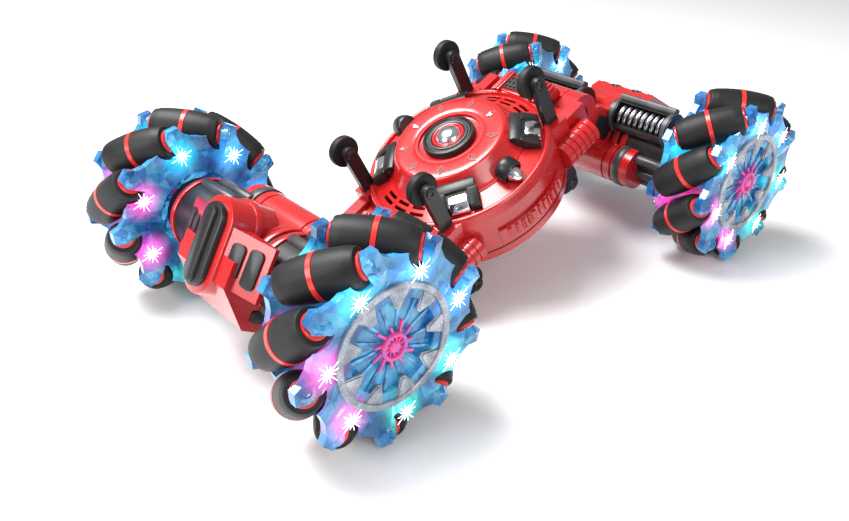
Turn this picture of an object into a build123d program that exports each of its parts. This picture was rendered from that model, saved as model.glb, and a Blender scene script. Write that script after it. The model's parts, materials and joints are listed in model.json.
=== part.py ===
from build123d import *
import math
import os

# RC stunt car: a saucer body hinged between two drive modules, four roller wheels.
# World frame: X forward-back (the rear is +X), Y across, Z up, origin on the ground midway
# between the wheels. All lengths are millimetres, all angles degrees.

# ---- Overall layout
wheelbase = 260.0
track = 164.4
wheel_radius = 50.0
body_pitch = 28.5
pivot_half_spacing = 75.0

# ---- Wheel and rollers
roller_count = 9
roller_tilt = 42.0
roller_radius = wheel_radius / 5
roller_half_length = 19.0
roller_band_width = 4.6
roller_band_proud = 0.2
roller_flange_thickness = 1.2
roller_flange_proud = 0.3
roller_pin_radius = 1.5
roller_end_gap = 0.5
roller_pocket_gap = 0.7
boss_length = 4.4
boss_radius = 4.6
plate_inner_face = 13.4
plate_thickness = 3.2
arm_tip_radius = wheel_radius - 1.8
arm_root_radius = wheel_radius - 19.5
arm_root_sink = 2.0
arm_shoulder_radius = arm_root_radius + 8.0
arm_lead_root_angle = 17.0
arm_shoulder_angle = 9.0
arm_lead_tip_angle = 3.5
arm_trail_tip_angle = 3.0
arm_trail_root_angle = 9.0
drum_radius = arm_root_radius - 3.0
drum_bore_radius = drum_radius - 5.9
hub_web_thickness = 3.0
hub_cap_radius = 7.0
hub_cap_height = 2.0
axle_radius = 3.0
axle_length = 44.0
running_clearance = 0.08
wheel_phases = {"front_right": 123.6, "front_left": 121.7, "rear_right": 123.2, "rear_left": 116.7}

# ---- Saucer body
shell_shift = 4.0
wall = 2.0
saucer_radius = 54.0
parting_z = -4.0
belly_z = -15.0
belly_radius = 46.0
bead_radius = 51.0
bead_z = 23.0
bead_section = 1.7
dish_radius = 37.5
dish_z = 25.0
dome_radius = 31.0
dome_z = 35.0
recess_radius = 18.0
recess_depth = 2.5
vent_rows = (41.0, 44.6)
vent_width = 1.8
vent_span = 11.0
vent_pitch = 15.0
pad_half_angle = 26.0
pad_bottom_z = 0.5
pad_height = 8.0
pad_proud = 1.6
pad_rib_count = 9
pad_rib_width = 1.4
pad_rib_proud = 0.8
pad_rib_inset = 1.0

# ---- Necks and hinge forks at both ends of the saucer
neck_half_width = 29.0
neck_top_z = 14.0
neck_setback = 13.0
neck_bottom_z = -11.0
lug_thickness = 11.0
lug_radius = 11.0
trunnion_radius = 4.0
trunnion_length = 9.0
turret_radius = 12.0
turret_centre_z = 11.0
turret_half_width = 14.0
hinge_gap = 1.0
lug_gap = 0.5
corner_x = 42.0
corner_y = 32.8
socket_width = 12.0
socket_top_z = 21.6
rib_roll_radius = 7.5
rib_roll_length = 24.0
rib_roll_x = 47.0
rib_roll_y = 41.0
rib_roll_z = 4.0
rib_groove_count = 5
rib_groove_width = 1.0
rib_groove_depth = 0.8
side_bar_width = 7.0
side_bar_length = 30.0
side_bar_top_z = 17.0

# ---- Casters on top and below
caster_arm_width = 8.0
caster_arm_thickness = 4.0
caster_top_z = 47.5
caster_bottom_z = -26.0
caster_radius = 8.7
caster_thickness = 5.0
caster_rounding = 1.2
caster_pin_radius = 1.5
caster_gap = 0.4
caster_cap_radius = 2.8
caster_cap_thickness = 0.9
caster_root_sink = 5.0
socket_bottom_z = -9.0

# ---- Lamp housings
lamp_inner_radius = 33.0
lamp_outer_radius = 46.0
lamp_angle = 48.0
lamp_half_width = 10.5
lamp_top_z = 32.0
lamp_nose_z = 27.0
bezel_radius = 6.2
bezel_bore_radius = 4.6
bezel_middle = 42.0
bezel_z = 27.5
bezel_length = 5.0
bezel_droop = 20.0
eye_outer_radius = 14.5
eye_inner_radius = 9.5
eye_height = 4.0

# ---- Inside the body
battery_length = 46.0
battery_width = 36.0
battery_height = 13.0
battery_x = -13.0
board_length = 54.0
board_width = 43.0
board_thickness = 1.6
board_z = 3.5
post_radius = 2.2
post_x = 20.0
post_y = 21.0
fold_motor_radius = 7.5
fold_motor_length = 38.0
fold_motor_x = 24.0
saddle_y = 12.0
saddle_thickness = 2.0
switch_knob = 4.0
switch_drop = 1.5
switch_travel = 4.0
switch_flange_thickness = 1.2
switch_flange_overlap = 2.0
switch_y = 26.0
switch_gap = 0.2

# ---- Drive modules
spine_half_width = 12.6
spine_half_height = 11.0
spine_ramp = 8.0
link_length = 24.0
link_half_height = 6.0
knuckle_radius = 11.0
knuckle_half_width = 14.8
axle_to_bumper = 21.6
bumper_length = 10.0
bumper_half_width = 36.0
bumper_nose_half_width = 12.0
bumper_half_height = 13.0
pill_half_width = 6.5
pill_half_height = 18.5
pill_depth = 4.0
lobe_to_axle = 11.4
lobe_z = -15.0
lobe_radius = 12.5
lobe_outer_y = 36.0
lobe_groove_pitch = 6.0
lobe_groove_width = 1.2
lobe_groove_count = 3
lobe_groove_depth = 1.0
housing_radius = 19.5
housing_to_wheel = 23.2
snout_radius = 17.5
snout_to_wheel = 14.2
motor_bay_radius = 12.0
motor_bay_depth = 28.0
motor_gap = 0.4
axle_bore_spare = 2.0
cradle_to_axle = 22.4
cradle_z = 12.0
cradle_radius = 10.0
cradle_to_wheel = 27.2
spring_rod_radius = 3.4
window_inner_y = 17.0
window_end_wall = 4.0
window_rail = 3.5
cover_half_width = 22.0
cover_top_z = 31.0
cover_step = 5.0
cover_nose_slope = 17.0
cover_oval_length = 20.0
cover_oval_margin = 3.5
cover_oval_width = 8.0
cover_oval_pitch = 16.0
cover_oval_depth = 1.5

os.makedirs("parts", exist_ok=True)

# ---- Positions worked out from the driving dimensions
pitch = math.radians(body_pitch)
pivot_run = pivot_half_spacing * math.cos(pitch)
pivot_rise = pivot_half_spacing * math.sin(pitch)
axle_x = wheelbase / 2
axle_y = track / 2
module_length = math.hypot(axle_x - pivot_run, pivot_rise)
module_pitch = math.atan2(pivot_rise, axle_x - pivot_run)
cradle_x = module_length - cradle_to_axle
lobe_x = module_length - lobe_to_axle
cover_start = lobe_x
bumper_start = module_length + axle_to_bumper
bumper_end = bumper_start + bumper_length
housing_outer_y = axle_y - housing_to_wheel
snout_outer_y = axle_y - snout_to_wheel
cradle_outer_y = axle_y - cradle_to_wheel
window_outer_y = cradle_outer_y - window_end_wall
roller_ring = wheel_radius - roller_radius
tilt = math.radians(roller_tilt)

body_place = Location(Plane(
    origin=(shell_shift * math.cos(pitch), 0, wheel_radius + shell_shift * math.sin(pitch)),
    x_dir=(math.cos(pitch), 0, math.sin(pitch)),
    z_dir=(-math.sin(pitch), 0, math.cos(pitch)),
))
rear_place = Location(Plane(
    origin=(pivot_run, 0, wheel_radius + pivot_rise),
    x_dir=(math.cos(module_pitch), 0, -math.sin(module_pitch)),
    z_dir=(math.sin(module_pitch), 0, math.cos(module_pitch)),
))
front_place = Location(Plane(
    origin=(-pivot_run, 0, wheel_radius - pivot_rise),
    x_dir=(-math.cos(module_pitch), 0, math.sin(module_pitch)),
    z_dir=(-math.sin(module_pitch), 0, -math.cos(module_pitch)),
))


def write(part, label, place):
    """Move a finished piece from its own straight frame to its resting place and write it."""
    placed = part.moved(place)
    placed.label = label
    export_step(placed, f"parts/{label}.step")


def across(x, y, z):
    """A plane whose normal runs along +Y, for pins, drums and tubes across the car."""
    return Plane(origin=(x, y, z), x_dir=(1, 0, 0), z_dir=(0, 1, 0))


def upright(x, y):
    """A plane facing -Y whose own Y is the part's Z, for outlines seen from the side."""
    return Plane(origin=(x, y, 0), x_dir=(1, 0, 0), z_dir=(0, -1, 0))


def roller_plane(angle):
    """The middle of one roller in the wheel's own frame (axle along Z), its axis as the normal."""
    a = math.radians(angle)
    radial = Vector(math.cos(a), math.sin(a), 0)
    sideways = Vector(-math.sin(a), math.cos(a), 0)
    axis = Vector(0, 0, math.cos(tilt)) - sideways * math.sin(tilt)
    return Plane(origin=radial * roller_ring, x_dir=radial, z_dir=axis)


def barrel_radius(t):
    """Roller radius at distance t from its middle, so that the wheel's outline stays round."""
    return wheel_radius - math.hypot(roller_ring, t * math.sin(tilt))


# ================================================================ Wheels
# Roller: rubber barrel with a raised band, end flanges and the pin stubs it turns on.
end_radius = barrel_radius(roller_half_length)
pin_end = roller_half_length + roller_end_gap + boss_length
with BuildPart() as roller:
    with BuildSketch(Plane.XZ):
        with BuildLine():
            left = Polyline(
                (0, -pin_end),
                (roller_pin_radius, -pin_end),
                (roller_pin_radius, -roller_half_length),
                (end_radius + roller_flange_proud, -roller_half_length),
                (end_radius + roller_flange_proud, -roller_half_length + roller_flange_thickness),
                (end_radius, -roller_half_length + roller_flange_thickness),
            )
            right = Polyline(
                (end_radius, roller_half_length - roller_flange_thickness),
                (end_radius + roller_flange_proud, roller_half_length - roller_flange_thickness),
                (end_radius + roller_flange_proud, roller_half_length),
                (roller_pin_radius, roller_half_length),
                (roller_pin_radius, pin_end),
                (0, pin_end),
            )
            ThreePointArc(left @ 1, (roller_radius, 0), right @ 0)
            Line(right @ 1, left @ 0)
        make_face()
        band_radius = roller_radius + roller_band_proud
        with Locations((band_radius / 2, 0)):
            Rectangle(band_radius, roller_band_width)
    revolve(axis=Axis.Z)

# Space each roller needs to turn in, cut out of the hub.
with BuildPart() as roller_pocket:
    with BuildSketch(Plane.XZ):
        pocket_end = roller_half_length + roller_end_gap
        pocket_end_radius = end_radius + roller_flange_proud + roller_pocket_gap
        with BuildLine():
            foot = Polyline((0, -pocket_end), (pocket_end_radius, -pocket_end))
            head = Polyline((pocket_end_radius, pocket_end), (0, pocket_end))
            ThreePointArc(foot @ 1, (roller_radius + roller_band_proud + roller_pocket_gap, 0), head @ 0)
            Line(head @ 1, foot @ 0)
        make_face()
    revolve(axis=Axis.Z)

# Hub: two nine-armed star plates on a drum, a boss at each roller end, an axle stub.
# The outer face is +Z, and the two plates are the same star turned half over.
boss_middle = roller_half_length + roller_end_gap + boss_length / 2
arm_lead = math.degrees(math.atan2(boss_middle * math.sin(tilt), roller_ring))
roller_pitch = 360 / roller_count
plate_outer_face = plate_inner_face + plate_thickness


def polar(radius, angle):
    return (radius * math.cos(math.radians(angle)), radius * math.sin(math.radians(angle)))


with BuildPart() as hub:
    for face in (1, -1):
        base = plate_inner_face if face > 0 else -plate_outer_face
        with BuildSketch(Plane.XY.offset(base)):
            Circle(arm_root_radius)
            for k in range(roller_count):
                tip = roller_pitch * k - face * arm_lead
                with BuildLine():
                    Polyline(
                        polar(arm_root_radius - arm_root_sink, tip - face * arm_lead_root_angle),
                        polar(arm_shoulder_radius, tip - face * arm_shoulder_angle),
                        polar(arm_tip_radius, tip - face * arm_lead_tip_angle),
                        polar(arm_tip_radius, tip + face * arm_trail_tip_angle),
                        polar(arm_root_radius - arm_root_sink, tip + face * arm_trail_root_angle),
                        close=True,
                    )
                make_face()
        extrude(amount=plate_thickness)
    with BuildSketch(Plane.XY.offset(-plate_outer_face)):
        Circle(drum_radius)
    extrude(amount=2 * plate_outer_face)
    for k in range(roller_count):
        middle = roller_plane(roller_pitch * k)
        for end in (1, -1):
            start = end * (roller_half_length + roller_end_gap)
            with BuildSketch(Plane(origin=middle.origin + middle.z_dir * start, x_dir=middle.x_dir,
                                   z_dir=middle.z_dir * end)):
                Circle(boss_radius)
            extrude(amount=boss_length)
    for k in range(roller_count):
        middle = roller_plane(roller_pitch * k)
        add(middle.location * roller_pocket.part, mode=Mode.SUBTRACT)
        with BuildSketch(middle.offset(-pin_end - wall)):
            Circle(roller_pin_radius + running_clearance)
        extrude(amount=2 * (pin_end + wall), mode=Mode.SUBTRACT)
    with BuildSketch(Plane.XY.offset(-plate_outer_face)):
        Circle(drum_bore_radius)
    extrude(amount=2 * plate_outer_face - hub_web_thickness, mode=Mode.SUBTRACT)
    with BuildSketch(Plane.XY.offset(plate_outer_face)):
        Circle(hub_cap_radius)
    extrude(amount=hub_cap_height)
    with BuildSketch(Plane.XY.offset(plate_outer_face - hub_web_thickness)):
        Circle(axle_radius)
    extrude(amount=-axle_length)

# Four wheels: each a hub and nine rollers, standing at its corner.
for corner, phase in wheel_phases.items():
    side = 1 if corner.endswith("left") else -1
    end = 1 if corner.startswith("rear") else -1
    a = math.radians(phase)
    wheel_place = Location(Plane(
        origin=(end * axle_x, side * axle_y, wheel_radius),
        x_dir=(math.cos(a), 0, math.sin(a)),
        z_dir=(0, side, 0),
    ))
    write(hub.part, f"{corner}_wheel_hub", wheel_place)
    for k in range(roller_count):
        place = wheel_place * roller_plane(roller_pitch * k).location
        write(roller.part, f"{corner}_roller_{k + 1}", place)

# ================================================================ Body
# The body's own frame has its origin at the saucer's centre, level with the hinge axes.
pivot_x = {1: pivot_half_spacing - shell_shift, -1: -pivot_half_spacing - shell_shift}
lug_inner_y = knuckle_half_width + lug_gap
lug_outer_y = lug_inner_y + lug_thickness

# The saucer's outer shape, turned about its axis: dome, dish, bead and rim wall.
with BuildPart() as saucer:
    with BuildSketch(Plane.XZ):
        with BuildLine():
            Polyline(
                (0, parting_z),
                (0, dome_z - recess_depth),
                (recess_radius, dome_z - recess_depth),
                (recess_radius, dome_z),
                (dome_radius, dome_z),
                (dish_radius, dish_z),
                (bead_radius - bead_section, bead_z - bead_section),
                (bead_radius + bead_section, bead_z - bead_section),
                (saucer_radius, bead_z - 3 * bead_section),
                (saucer_radius, parting_z),
                close=True,
            )
        make_face()
        with Locations((bead_radius, bead_z - bead_section)):
            Circle(bead_section)
    revolve(axis=Axis.Z)

# Upper shell: the saucer hollowed out, with a neck, turret and hinge fork at both ends.
with BuildPart() as upper_shell:
    for end in (1, -1):
        neck_end = pivot_x[end] - end * neck_setback
        with BuildSketch(Plane.XY.offset(parting_z)):
            with Locations((neck_end / 2, 0)):
                Rectangle(abs(neck_end), 2 * neck_half_width)
        extrude(amount=neck_top_z - parting_z)
        with BuildSketch(across(pivot_x[end] - end * (turret_radius + hinge_gap), -turret_half_width,
                                turret_centre_z)):
            Circle(turret_radius)
        extrude(amount=2 * turret_half_width)
        for side in (1, -1):
            with BuildSketch(Plane.XY.offset(parting_z)):
                with Locations((end * corner_x, side * corner_y)):
                    Rectangle(socket_width, socket_width)
            extrude(amount=socket_top_z - parting_z)
            with BuildSketch(Plane.XY.offset(parting_z)):
                with Locations((end * (corner_x + side_bar_length / 4), side * corner_y)):
                    Rectangle(side_bar_length, side_bar_width)
            extrude(amount=side_bar_top_z - parting_z)
    add(saucer.part)
    with BuildSketch(Plane.XZ):
        with BuildLine():
            Polyline(
                (0, parting_z),
                (0, dome_z - recess_depth - wall),
                (dome_radius - wall, dome_z - recess_depth - wall),
                (dish_radius - wall, dish_z - wall),
                (bead_radius - bead_section, bead_z - bead_section - wall),
                (saucer_radius - wall, bead_z - 3 * bead_section - wall),
                (saucer_radius - wall, parting_z),
                close=True,
            )
        make_face()
    revolve(axis=Axis.Z, mode=Mode.SUBTRACT)
    for end in (1, -1):
        with BuildSketch(Plane.XY.offset(parting_z)):
            with Locations(((pivot_x[end] - end * (neck_setback + wall)) / 2, 0)):
                Rectangle(abs(pivot_x[end]) - neck_setback - wall, 2 * (neck_half_width - wall))
        extrude(amount=neck_top_z - wall - parting_z, mode=Mode.SUBTRACT)
        for side in (1, -1):
            with BuildSketch(across(pivot_x[end], side * lug_inner_y, 0)):
                Circle(lug_radius)
                with Locations((-end * (neck_setback + wall) / 2, 0)):
                    Rectangle(neck_setback + wall, 2 * lug_radius)
            extrude(amount=side * lug_thickness)
            roll_start = end * (rib_roll_x - rib_roll_length / 2)
            roll_plane = Plane(origin=(roll_start, side * rib_roll_y, rib_roll_z), x_dir=(0, 1, 0),
                               z_dir=(end, 0, 0))
            with BuildSketch(roll_plane):
                Circle(rib_roll_radius)
            extrude(amount=rib_roll_length)
            for n in range(rib_groove_count):
                groove = rib_roll_length * (n + 1) / (rib_groove_count + 1)
                with BuildSketch(roll_plane.offset(groove)):
                    with Locations((side * rib_roll_radius, 0)):
                        Rectangle(2 * rib_roll_radius, 4 * rib_roll_radius)
                    Circle(rib_roll_radius - rib_groove_depth, mode=Mode.SUBTRACT)
                extrude(amount=rib_groove_width, mode=Mode.SUBTRACT)
        with BuildSketch(across(pivot_x[end], -lug_inner_y, 0)):
            Circle(knuckle_radius + hinge_gap)
        extrude(amount=2 * lug_inner_y, mode=Mode.SUBTRACT)
        with BuildSketch(across(pivot_x[end], -lug_outer_y, 0)):
            Circle(trunnion_radius + running_clearance)
        extrude(amount=2 * lug_outer_y, mode=Mode.SUBTRACT)
        for side in (1, -1):
            with BuildSketch(Plane.XY.offset(socket_top_z - caster_root_sink)):
                with Locations((end * corner_x, side * corner_y)):
                    Rectangle(caster_arm_width, caster_arm_thickness)
            extrude(amount=caster_top_z - socket_top_z, mode=Mode.SUBTRACT)
        for radius in vent_rows:
            for n in (-1, 0, 1):
                middle = 90 - 90 * end + n * vent_pitch
                with BuildSketch(Plane.XY.offset(neck_top_z)):
                    with BuildLine():
                        outer = CenterArc((0, 0), radius + vent_width, middle - vent_span / 2, vent_span)
                        inner = CenterArc((0, 0), radius, middle - vent_span / 2, vent_span)
                        Line(outer @ 0, inner @ 0)
                        Line(outer @ 1, inner @ 1)
                    make_face()
                extrude(amount=bead_z, mode=Mode.SUBTRACT)
    for side in (1, -1):
        first = side * 90 - pad_half_angle
        with BuildSketch(Plane.XY.offset(pad_bottom_z)):
            with BuildLine():
                outer = CenterArc((0, 0), saucer_radius + pad_proud, first, 2 * pad_half_angle)
                inner = CenterArc((0, 0), saucer_radius - wall / 2, first, 2 * pad_half_angle)
                Line(outer @ 0, inner @ 0)
                Line(outer @ 1, inner @ 1)
            make_face()
        extrude(amount=pad_height)
        for n in range(pad_rib_count):
            angle = first + 2 * pad_half_angle * (n + 1) / (pad_rib_count + 1)
            with BuildSketch(Plane.XY.offset(pad_bottom_z + pad_rib_inset)):
                with Locations(Location(polar(saucer_radius + pad_proud, angle) + (0,), (0, 0, angle))):
                    Rectangle(2 * pad_rib_proud, pad_rib_width)
            extrude(amount=pad_height - 2 * pad_rib_inset)
write(upper_shell.part, "body_upper_shell", body_place)

# Lower shell: a shallow pan with posts, saddles, caster sockets and the switch slot.
floor_z = belly_z + wall
motor_z = floor_z + fold_motor_radius
switch_slot_length = switch_knob + switch_travel + 2 * switch_gap
with BuildPart() as lower_shell:
    with BuildSketch(Plane.XZ):
        with BuildLine():
            Polyline((0, parting_z), (0, belly_z), (belly_radius, belly_z),
                     (saucer_radius, neck_bottom_z + wall), (saucer_radius, parting_z), close=True)
        make_face()
    revolve(axis=Axis.Z)
    for end in (1, -1):
        neck_end = pivot_x[end] - end * neck_setback
        with BuildSketch(Plane.XY.offset(neck_bottom_z)):
            with Locations((neck_end / 2, 0)):
                Rectangle(abs(neck_end), 2 * neck_half_width)
        extrude(amount=parting_z - neck_bottom_z)
        for side in (1, -1):
            with BuildSketch(Plane.XY.offset(socket_bottom_z)):
                with Locations((end * corner_x, side * corner_y)):
                    Rectangle(socket_width, socket_width)
            extrude(amount=parting_z - socket_bottom_z)
    with BuildSketch(Plane.XZ):
        with BuildLine():
            Polyline((0, parting_z), (0, floor_z), (belly_radius - wall, floor_z),
                     (saucer_radius - wall, neck_bottom_z + 2 * wall), (saucer_radius - wall, parting_z),
                     close=True)
        make_face()
    revolve(axis=Axis.Z, mode=Mode.SUBTRACT)
    for end in (1, -1):
        with BuildSketch(Plane.XY.offset(neck_bottom_z + wall)):
            with Locations(((pivot_x[end] - end * (neck_setback + wall)) / 2, 0)):
                Rectangle(abs(pivot_x[end]) - neck_setback - wall, 2 * (neck_half_width - wall))
        extrude(amount=parting_z - neck_bottom_z, mode=Mode.SUBTRACT)
        for side in (1, -1):
            with BuildSketch(Plane.XY.offset(socket_bottom_z)):
                with Locations((end * corner_x, side * corner_y)):
                    Rectangle(socket_width, socket_width)
            extrude(amount=parting_z - socket_bottom_z)
            with BuildSketch(Plane.XY.offset(parting_z - wall / 2)):
                with Locations((end * corner_x, side * corner_y)):
                    Rectangle(caster_arm_width, caster_arm_thickness)
            extrude(amount=caster_bottom_z, mode=Mode.SUBTRACT)
            with BuildSketch(across(pivot_x[end], side * lug_inner_y, 0)):
                Circle(lug_radius)
                with Locations((-end * (neck_setback + wall) / 2, 0)):
                    Rectangle(neck_setback + wall, 2 * lug_radius)
            extrude(amount=side * lug_thickness, mode=Mode.SUBTRACT)
            roll_start = end * (rib_roll_x - rib_roll_length / 2)
            with BuildSketch(Plane(origin=(roll_start, side * rib_roll_y, rib_roll_z), x_dir=(0, 1, 0),
                                   z_dir=(end, 0, 0))):
                Circle(rib_roll_radius)
            extrude(amount=rib_roll_length, mode=Mode.SUBTRACT)
        with BuildSketch(across(pivot_x[end], -lug_inner_y, 0)):
            Circle(knuckle_radius + hinge_gap)
        extrude(amount=2 * lug_inner_y, mode=Mode.SUBTRACT)
    with BuildSketch(Plane.XY.offset(floor_z)):
        with GridLocations(2 * post_x, 2 * post_y, 2, 2):
            Circle(post_radius)
    extrude(amount=board_z - floor_z)
    with BuildSketch(Plane.XY.offset(floor_z)):
        with Locations((fold_motor_x, 0)):
            with GridLocations(0, 2 * saddle_y, 1, 2):
                Rectangle(2 * fold_motor_radius, saddle_thickness)
    extrude(amount=fold_motor_radius)
    with BuildSketch(across(fold_motor_x, -fold_motor_length / 2, motor_z)):
        Circle(fold_motor_radius)
    extrude(amount=fold_motor_length, mode=Mode.SUBTRACT)
    with BuildSketch(Plane.XY.offset(belly_z)):
        with Locations((0, switch_y)):
            Rectangle(switch_slot_length, switch_knob + 2 * switch_gap)
    extrude(amount=wall, mode=Mode.SUBTRACT)
write(lower_shell.part, "body_lower_shell", body_place)

# Caster arms: eight straight arms set in the sockets, each with a pin and a cap for its wheel.
caster_sites = [(end * corner_x, side * corner_y, top)
                for top in (1, 0) for end in (1, -1) for side in (1, -1)]
caster_offset = caster_arm_thickness / 2 + caster_gap + caster_thickness / 2
with BuildPart() as caster_arms:
    for x, y, top in caster_sites:
        root_z = socket_top_z - caster_root_sink if top else parting_z - wall / 2
        axle_z = caster_top_z if top else caster_bottom_z
        with BuildSketch(upright(x, y)):
            with Locations((0, (root_z + axle_z) / 2)):
                Rectangle(caster_arm_width, abs(axle_z - root_z))
            with Locations((0, axle_z)):
                Circle(caster_arm_width / 2)
        extrude(amount=caster_arm_thickness / 2, both=True)
        pin_length = caster_thickness + 2 * caster_gap
        with BuildSketch(across(x, y + caster_arm_thickness / 2, axle_z)):
            Circle(caster_pin_radius)
        extrude(amount=pin_length)
        with BuildSketch(across(x, y + caster_arm_thickness / 2 + pin_length, axle_z)):
            Circle(caster_cap_radius)
        extrude(amount=caster_cap_thickness)
write(caster_arms.part, "caster_arms", body_place)

# Caster wheel: a small solid tyre with a bore for its pin.
with BuildPart() as caster_wheel:
    with BuildSketch():
        Circle(caster_radius)
        Circle(caster_pin_radius + running_clearance, mode=Mode.SUBTRACT)
    extrude(amount=caster_thickness / 2, both=True)
    fillet(caster_wheel.edges().filter_by(GeomType.CIRCLE).filter_by(
        lambda edge: edge.radius > caster_radius - wall), caster_rounding)
for x, y, top in caster_sites:
    name = "_".join(["caster", "top" if top else "bottom", "rear" if x > 0 else "front",
                     "left" if y > 0 else "right"])
    spot = Location(across(x, y + caster_offset, caster_top_z if top else caster_bottom_z))
    write(caster_wheel.part, name, body_place * spot)

# Lamp housings: four wedges round the dome, a bezel on each flank and the ring of the eye.
with BuildPart() as lamp_housings:
    for end in (1, -1):
        for side in (1, -1):
            facing = lamp_angle * side if end > 0 else 180 - lamp_angle * side
            lamp_plane = Plane.XY.rotated((0, 0, facing))
            with BuildSketch(Plane(origin=(0, 0, 0), x_dir=lamp_plane.x_dir, z_dir=-lamp_plane.y_dir)):
                with BuildLine():
                    Polyline((lamp_inner_radius, dish_z - wall), (lamp_inner_radius, lamp_top_z),
                             (lamp_inner_radius + wall, lamp_top_z), (lamp_outer_radius, lamp_nose_z),
                             (lamp_outer_radius, dish_z - 2 * wall), close=True)
                make_face()
            extrude(amount=lamp_half_width, both=True)
        # bezel for the bullet lamp on this flank
        with BuildSketch(Plane(origin=(0, end * bezel_middle, bezel_z), x_dir=(1, 0, 0),
                               z_dir=(0, end, -math.tan(math.radians(bezel_droop))))):
            Circle(bezel_radius)
            Circle(bezel_bore_radius, mode=Mode.SUBTRACT)
        extrude(amount=bezel_length / 2, both=True)
    add(saucer.part, mode=Mode.SUBTRACT)
    with BuildSketch(Plane.XY.offset(dome_z - recess_depth)):
        Circle(eye_outer_radius)
        Circle(eye_inner_radius, mode=Mode.SUBTRACT)
    extrude(amount=eye_height)
write(lamp_housings.part, "lamp_housings", body_place)

# Battery pack, lying on the floor of the lower shell.
with BuildPart() as battery_pack:
    with BuildSketch(Plane.XY.offset(floor_z)):
        with Locations((battery_x, 0)):
            RectangleRounded(battery_length, battery_width, wall)
    extrude(amount=battery_height)
write(battery_pack.part, "battery_pack", body_place)

# Control board on its four posts.
with BuildPart() as control_board:
    with BuildSketch(Plane.XY.offset(board_z)):
        RectangleRounded(board_length, board_width, wall)
    extrude(amount=board_thickness)
write(control_board.part, "control_board", body_place)

# Fold motor: lies across the body in its saddles and swings both drive modules.
with BuildPart() as fold_motor:
    with BuildSketch(across(fold_motor_x, -fold_motor_length / 2, motor_z)):
        Circle(fold_motor_radius)
    extrude(amount=fold_motor_length)
write(fold_motor.part, "fold_motor", body_place)

# Power switch: a slider under the belly, held by a flange inside the floor.
with BuildPart() as power_switch:
    with BuildSketch(Plane.XY.offset(belly_z - switch_drop)):
        with Locations((-switch_travel / 2, switch_y)):
            Rectangle(switch_knob, switch_knob)
    extrude(amount=switch_drop + wall + switch_gap)
    with BuildSketch(Plane.XY.offset(floor_z + switch_gap)):
        with Locations((-switch_travel / 2, switch_y)):
            Rectangle(switch_slot_length + 2 * switch_flange_overlap,
                      switch_knob + 2 * switch_flange_overlap)
    extrude(amount=switch_flange_thickness)
write(power_switch.part, "power_switch", body_place)

# ================================================================ Drive modules
# The module's own frame has its origin on the hinge axis and X pointing out to the axle.
axle_end_y = axle_y + plate_outer_face - hub_web_thickness - axle_length

# Casing: hinge knuckle with trunnions, spine, cover, grooved lobes, bumper and pill.
with BuildPart() as module_casing:
    with BuildSketch(Plane.XZ):
        with BuildLine():
            Polyline((cover_start, 0), (cover_start, cover_top_z - cover_step),
                     (cover_start + cover_step, cover_top_z), (bumper_end - cover_nose_slope, cover_top_z),
                     (bumper_end, bumper_half_height), (bumper_end, 0), close=True)
        make_face()
    extrude(amount=cover_half_width, both=True)
    with BuildSketch(across(lobe_x, -lobe_outer_y, lobe_z)):
        Circle(lobe_radius)
    extrude(amount=2 * lobe_outer_y)
    for side in (1, -1):
        for n in range(lobe_groove_count):
            with BuildSketch(across(lobe_x, side * (lobe_outer_y - (n + 1) * lobe_groove_pitch), lobe_z)):
                Circle(lobe_radius + lobe_groove_depth)
                Circle(lobe_radius - lobe_groove_depth, mode=Mode.SUBTRACT)
            extrude(amount=lobe_groove_width, mode=Mode.SUBTRACT)
        with BuildSketch(across(module_length, side * spine_half_width, 0)):
            Circle(housing_radius)
        extrude(amount=side * housing_outer_y, mode=Mode.SUBTRACT)
    with BuildSketch(across(0, -knuckle_half_width, 0)):
        Circle(knuckle_radius)
    extrude(amount=2 * knuckle_half_width)
    with BuildSketch(across(0, -knuckle_half_width - trunnion_length, 0)):
        Circle(trunnion_radius)
    extrude(amount=2 * (knuckle_half_width + trunnion_length))
    with BuildSketch(Plane.XZ):
        with BuildLine():
            Polyline((0, -link_half_height), (link_length, -link_half_height),
                     (link_length + spine_ramp, -spine_half_height), (bumper_start, -spine_half_height),
                     (bumper_start, spine_half_height), (link_length + spine_ramp, spine_half_height),
                     (link_length, link_half_height), (0, link_half_height), close=True)
        make_face()
        with Locations((module_length, 0)):
            Circle(housing_radius)
    extrude(amount=spine_half_width, both=True)
    with BuildSketch(Plane.XY.offset(-bumper_half_height)):
        with BuildLine():
            Polyline((bumper_start, -bumper_half_width), (bumper_start + wall, -bumper_half_width),
                     (bumper_end, -bumper_nose_half_width), (bumper_end, bumper_nose_half_width),
                     (bumper_start + wall, bumper_half_width), (bumper_start, bumper_half_width),
                     close=True)
        make_face()
    extrude(amount=2 * bumper_half_height)
    with BuildSketch(Plane(origin=(bumper_end, 0, 0), x_dir=(0, 1, 0), z_dir=(1, 0, 0))):
        SlotOverall(2 * pill_half_height, 2 * pill_half_width, rotation=90)
    extrude(amount=pill_depth)
    with BuildSketch(Plane.XY.offset(cover_top_z)):
        with Locations((cover_start + cover_oval_margin + cover_oval_length / 2, 0)):
            with GridLocations(0, cover_oval_pitch, 1, 2):
                SlotOverall(cover_oval_length, cover_oval_width)
    extrude(amount=-cover_oval_depth, mode=Mode.SUBTRACT)
write(module_casing.part, "rear_module_casing", rear_place)
write(module_casing.part, "front_module_casing", front_place)

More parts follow.
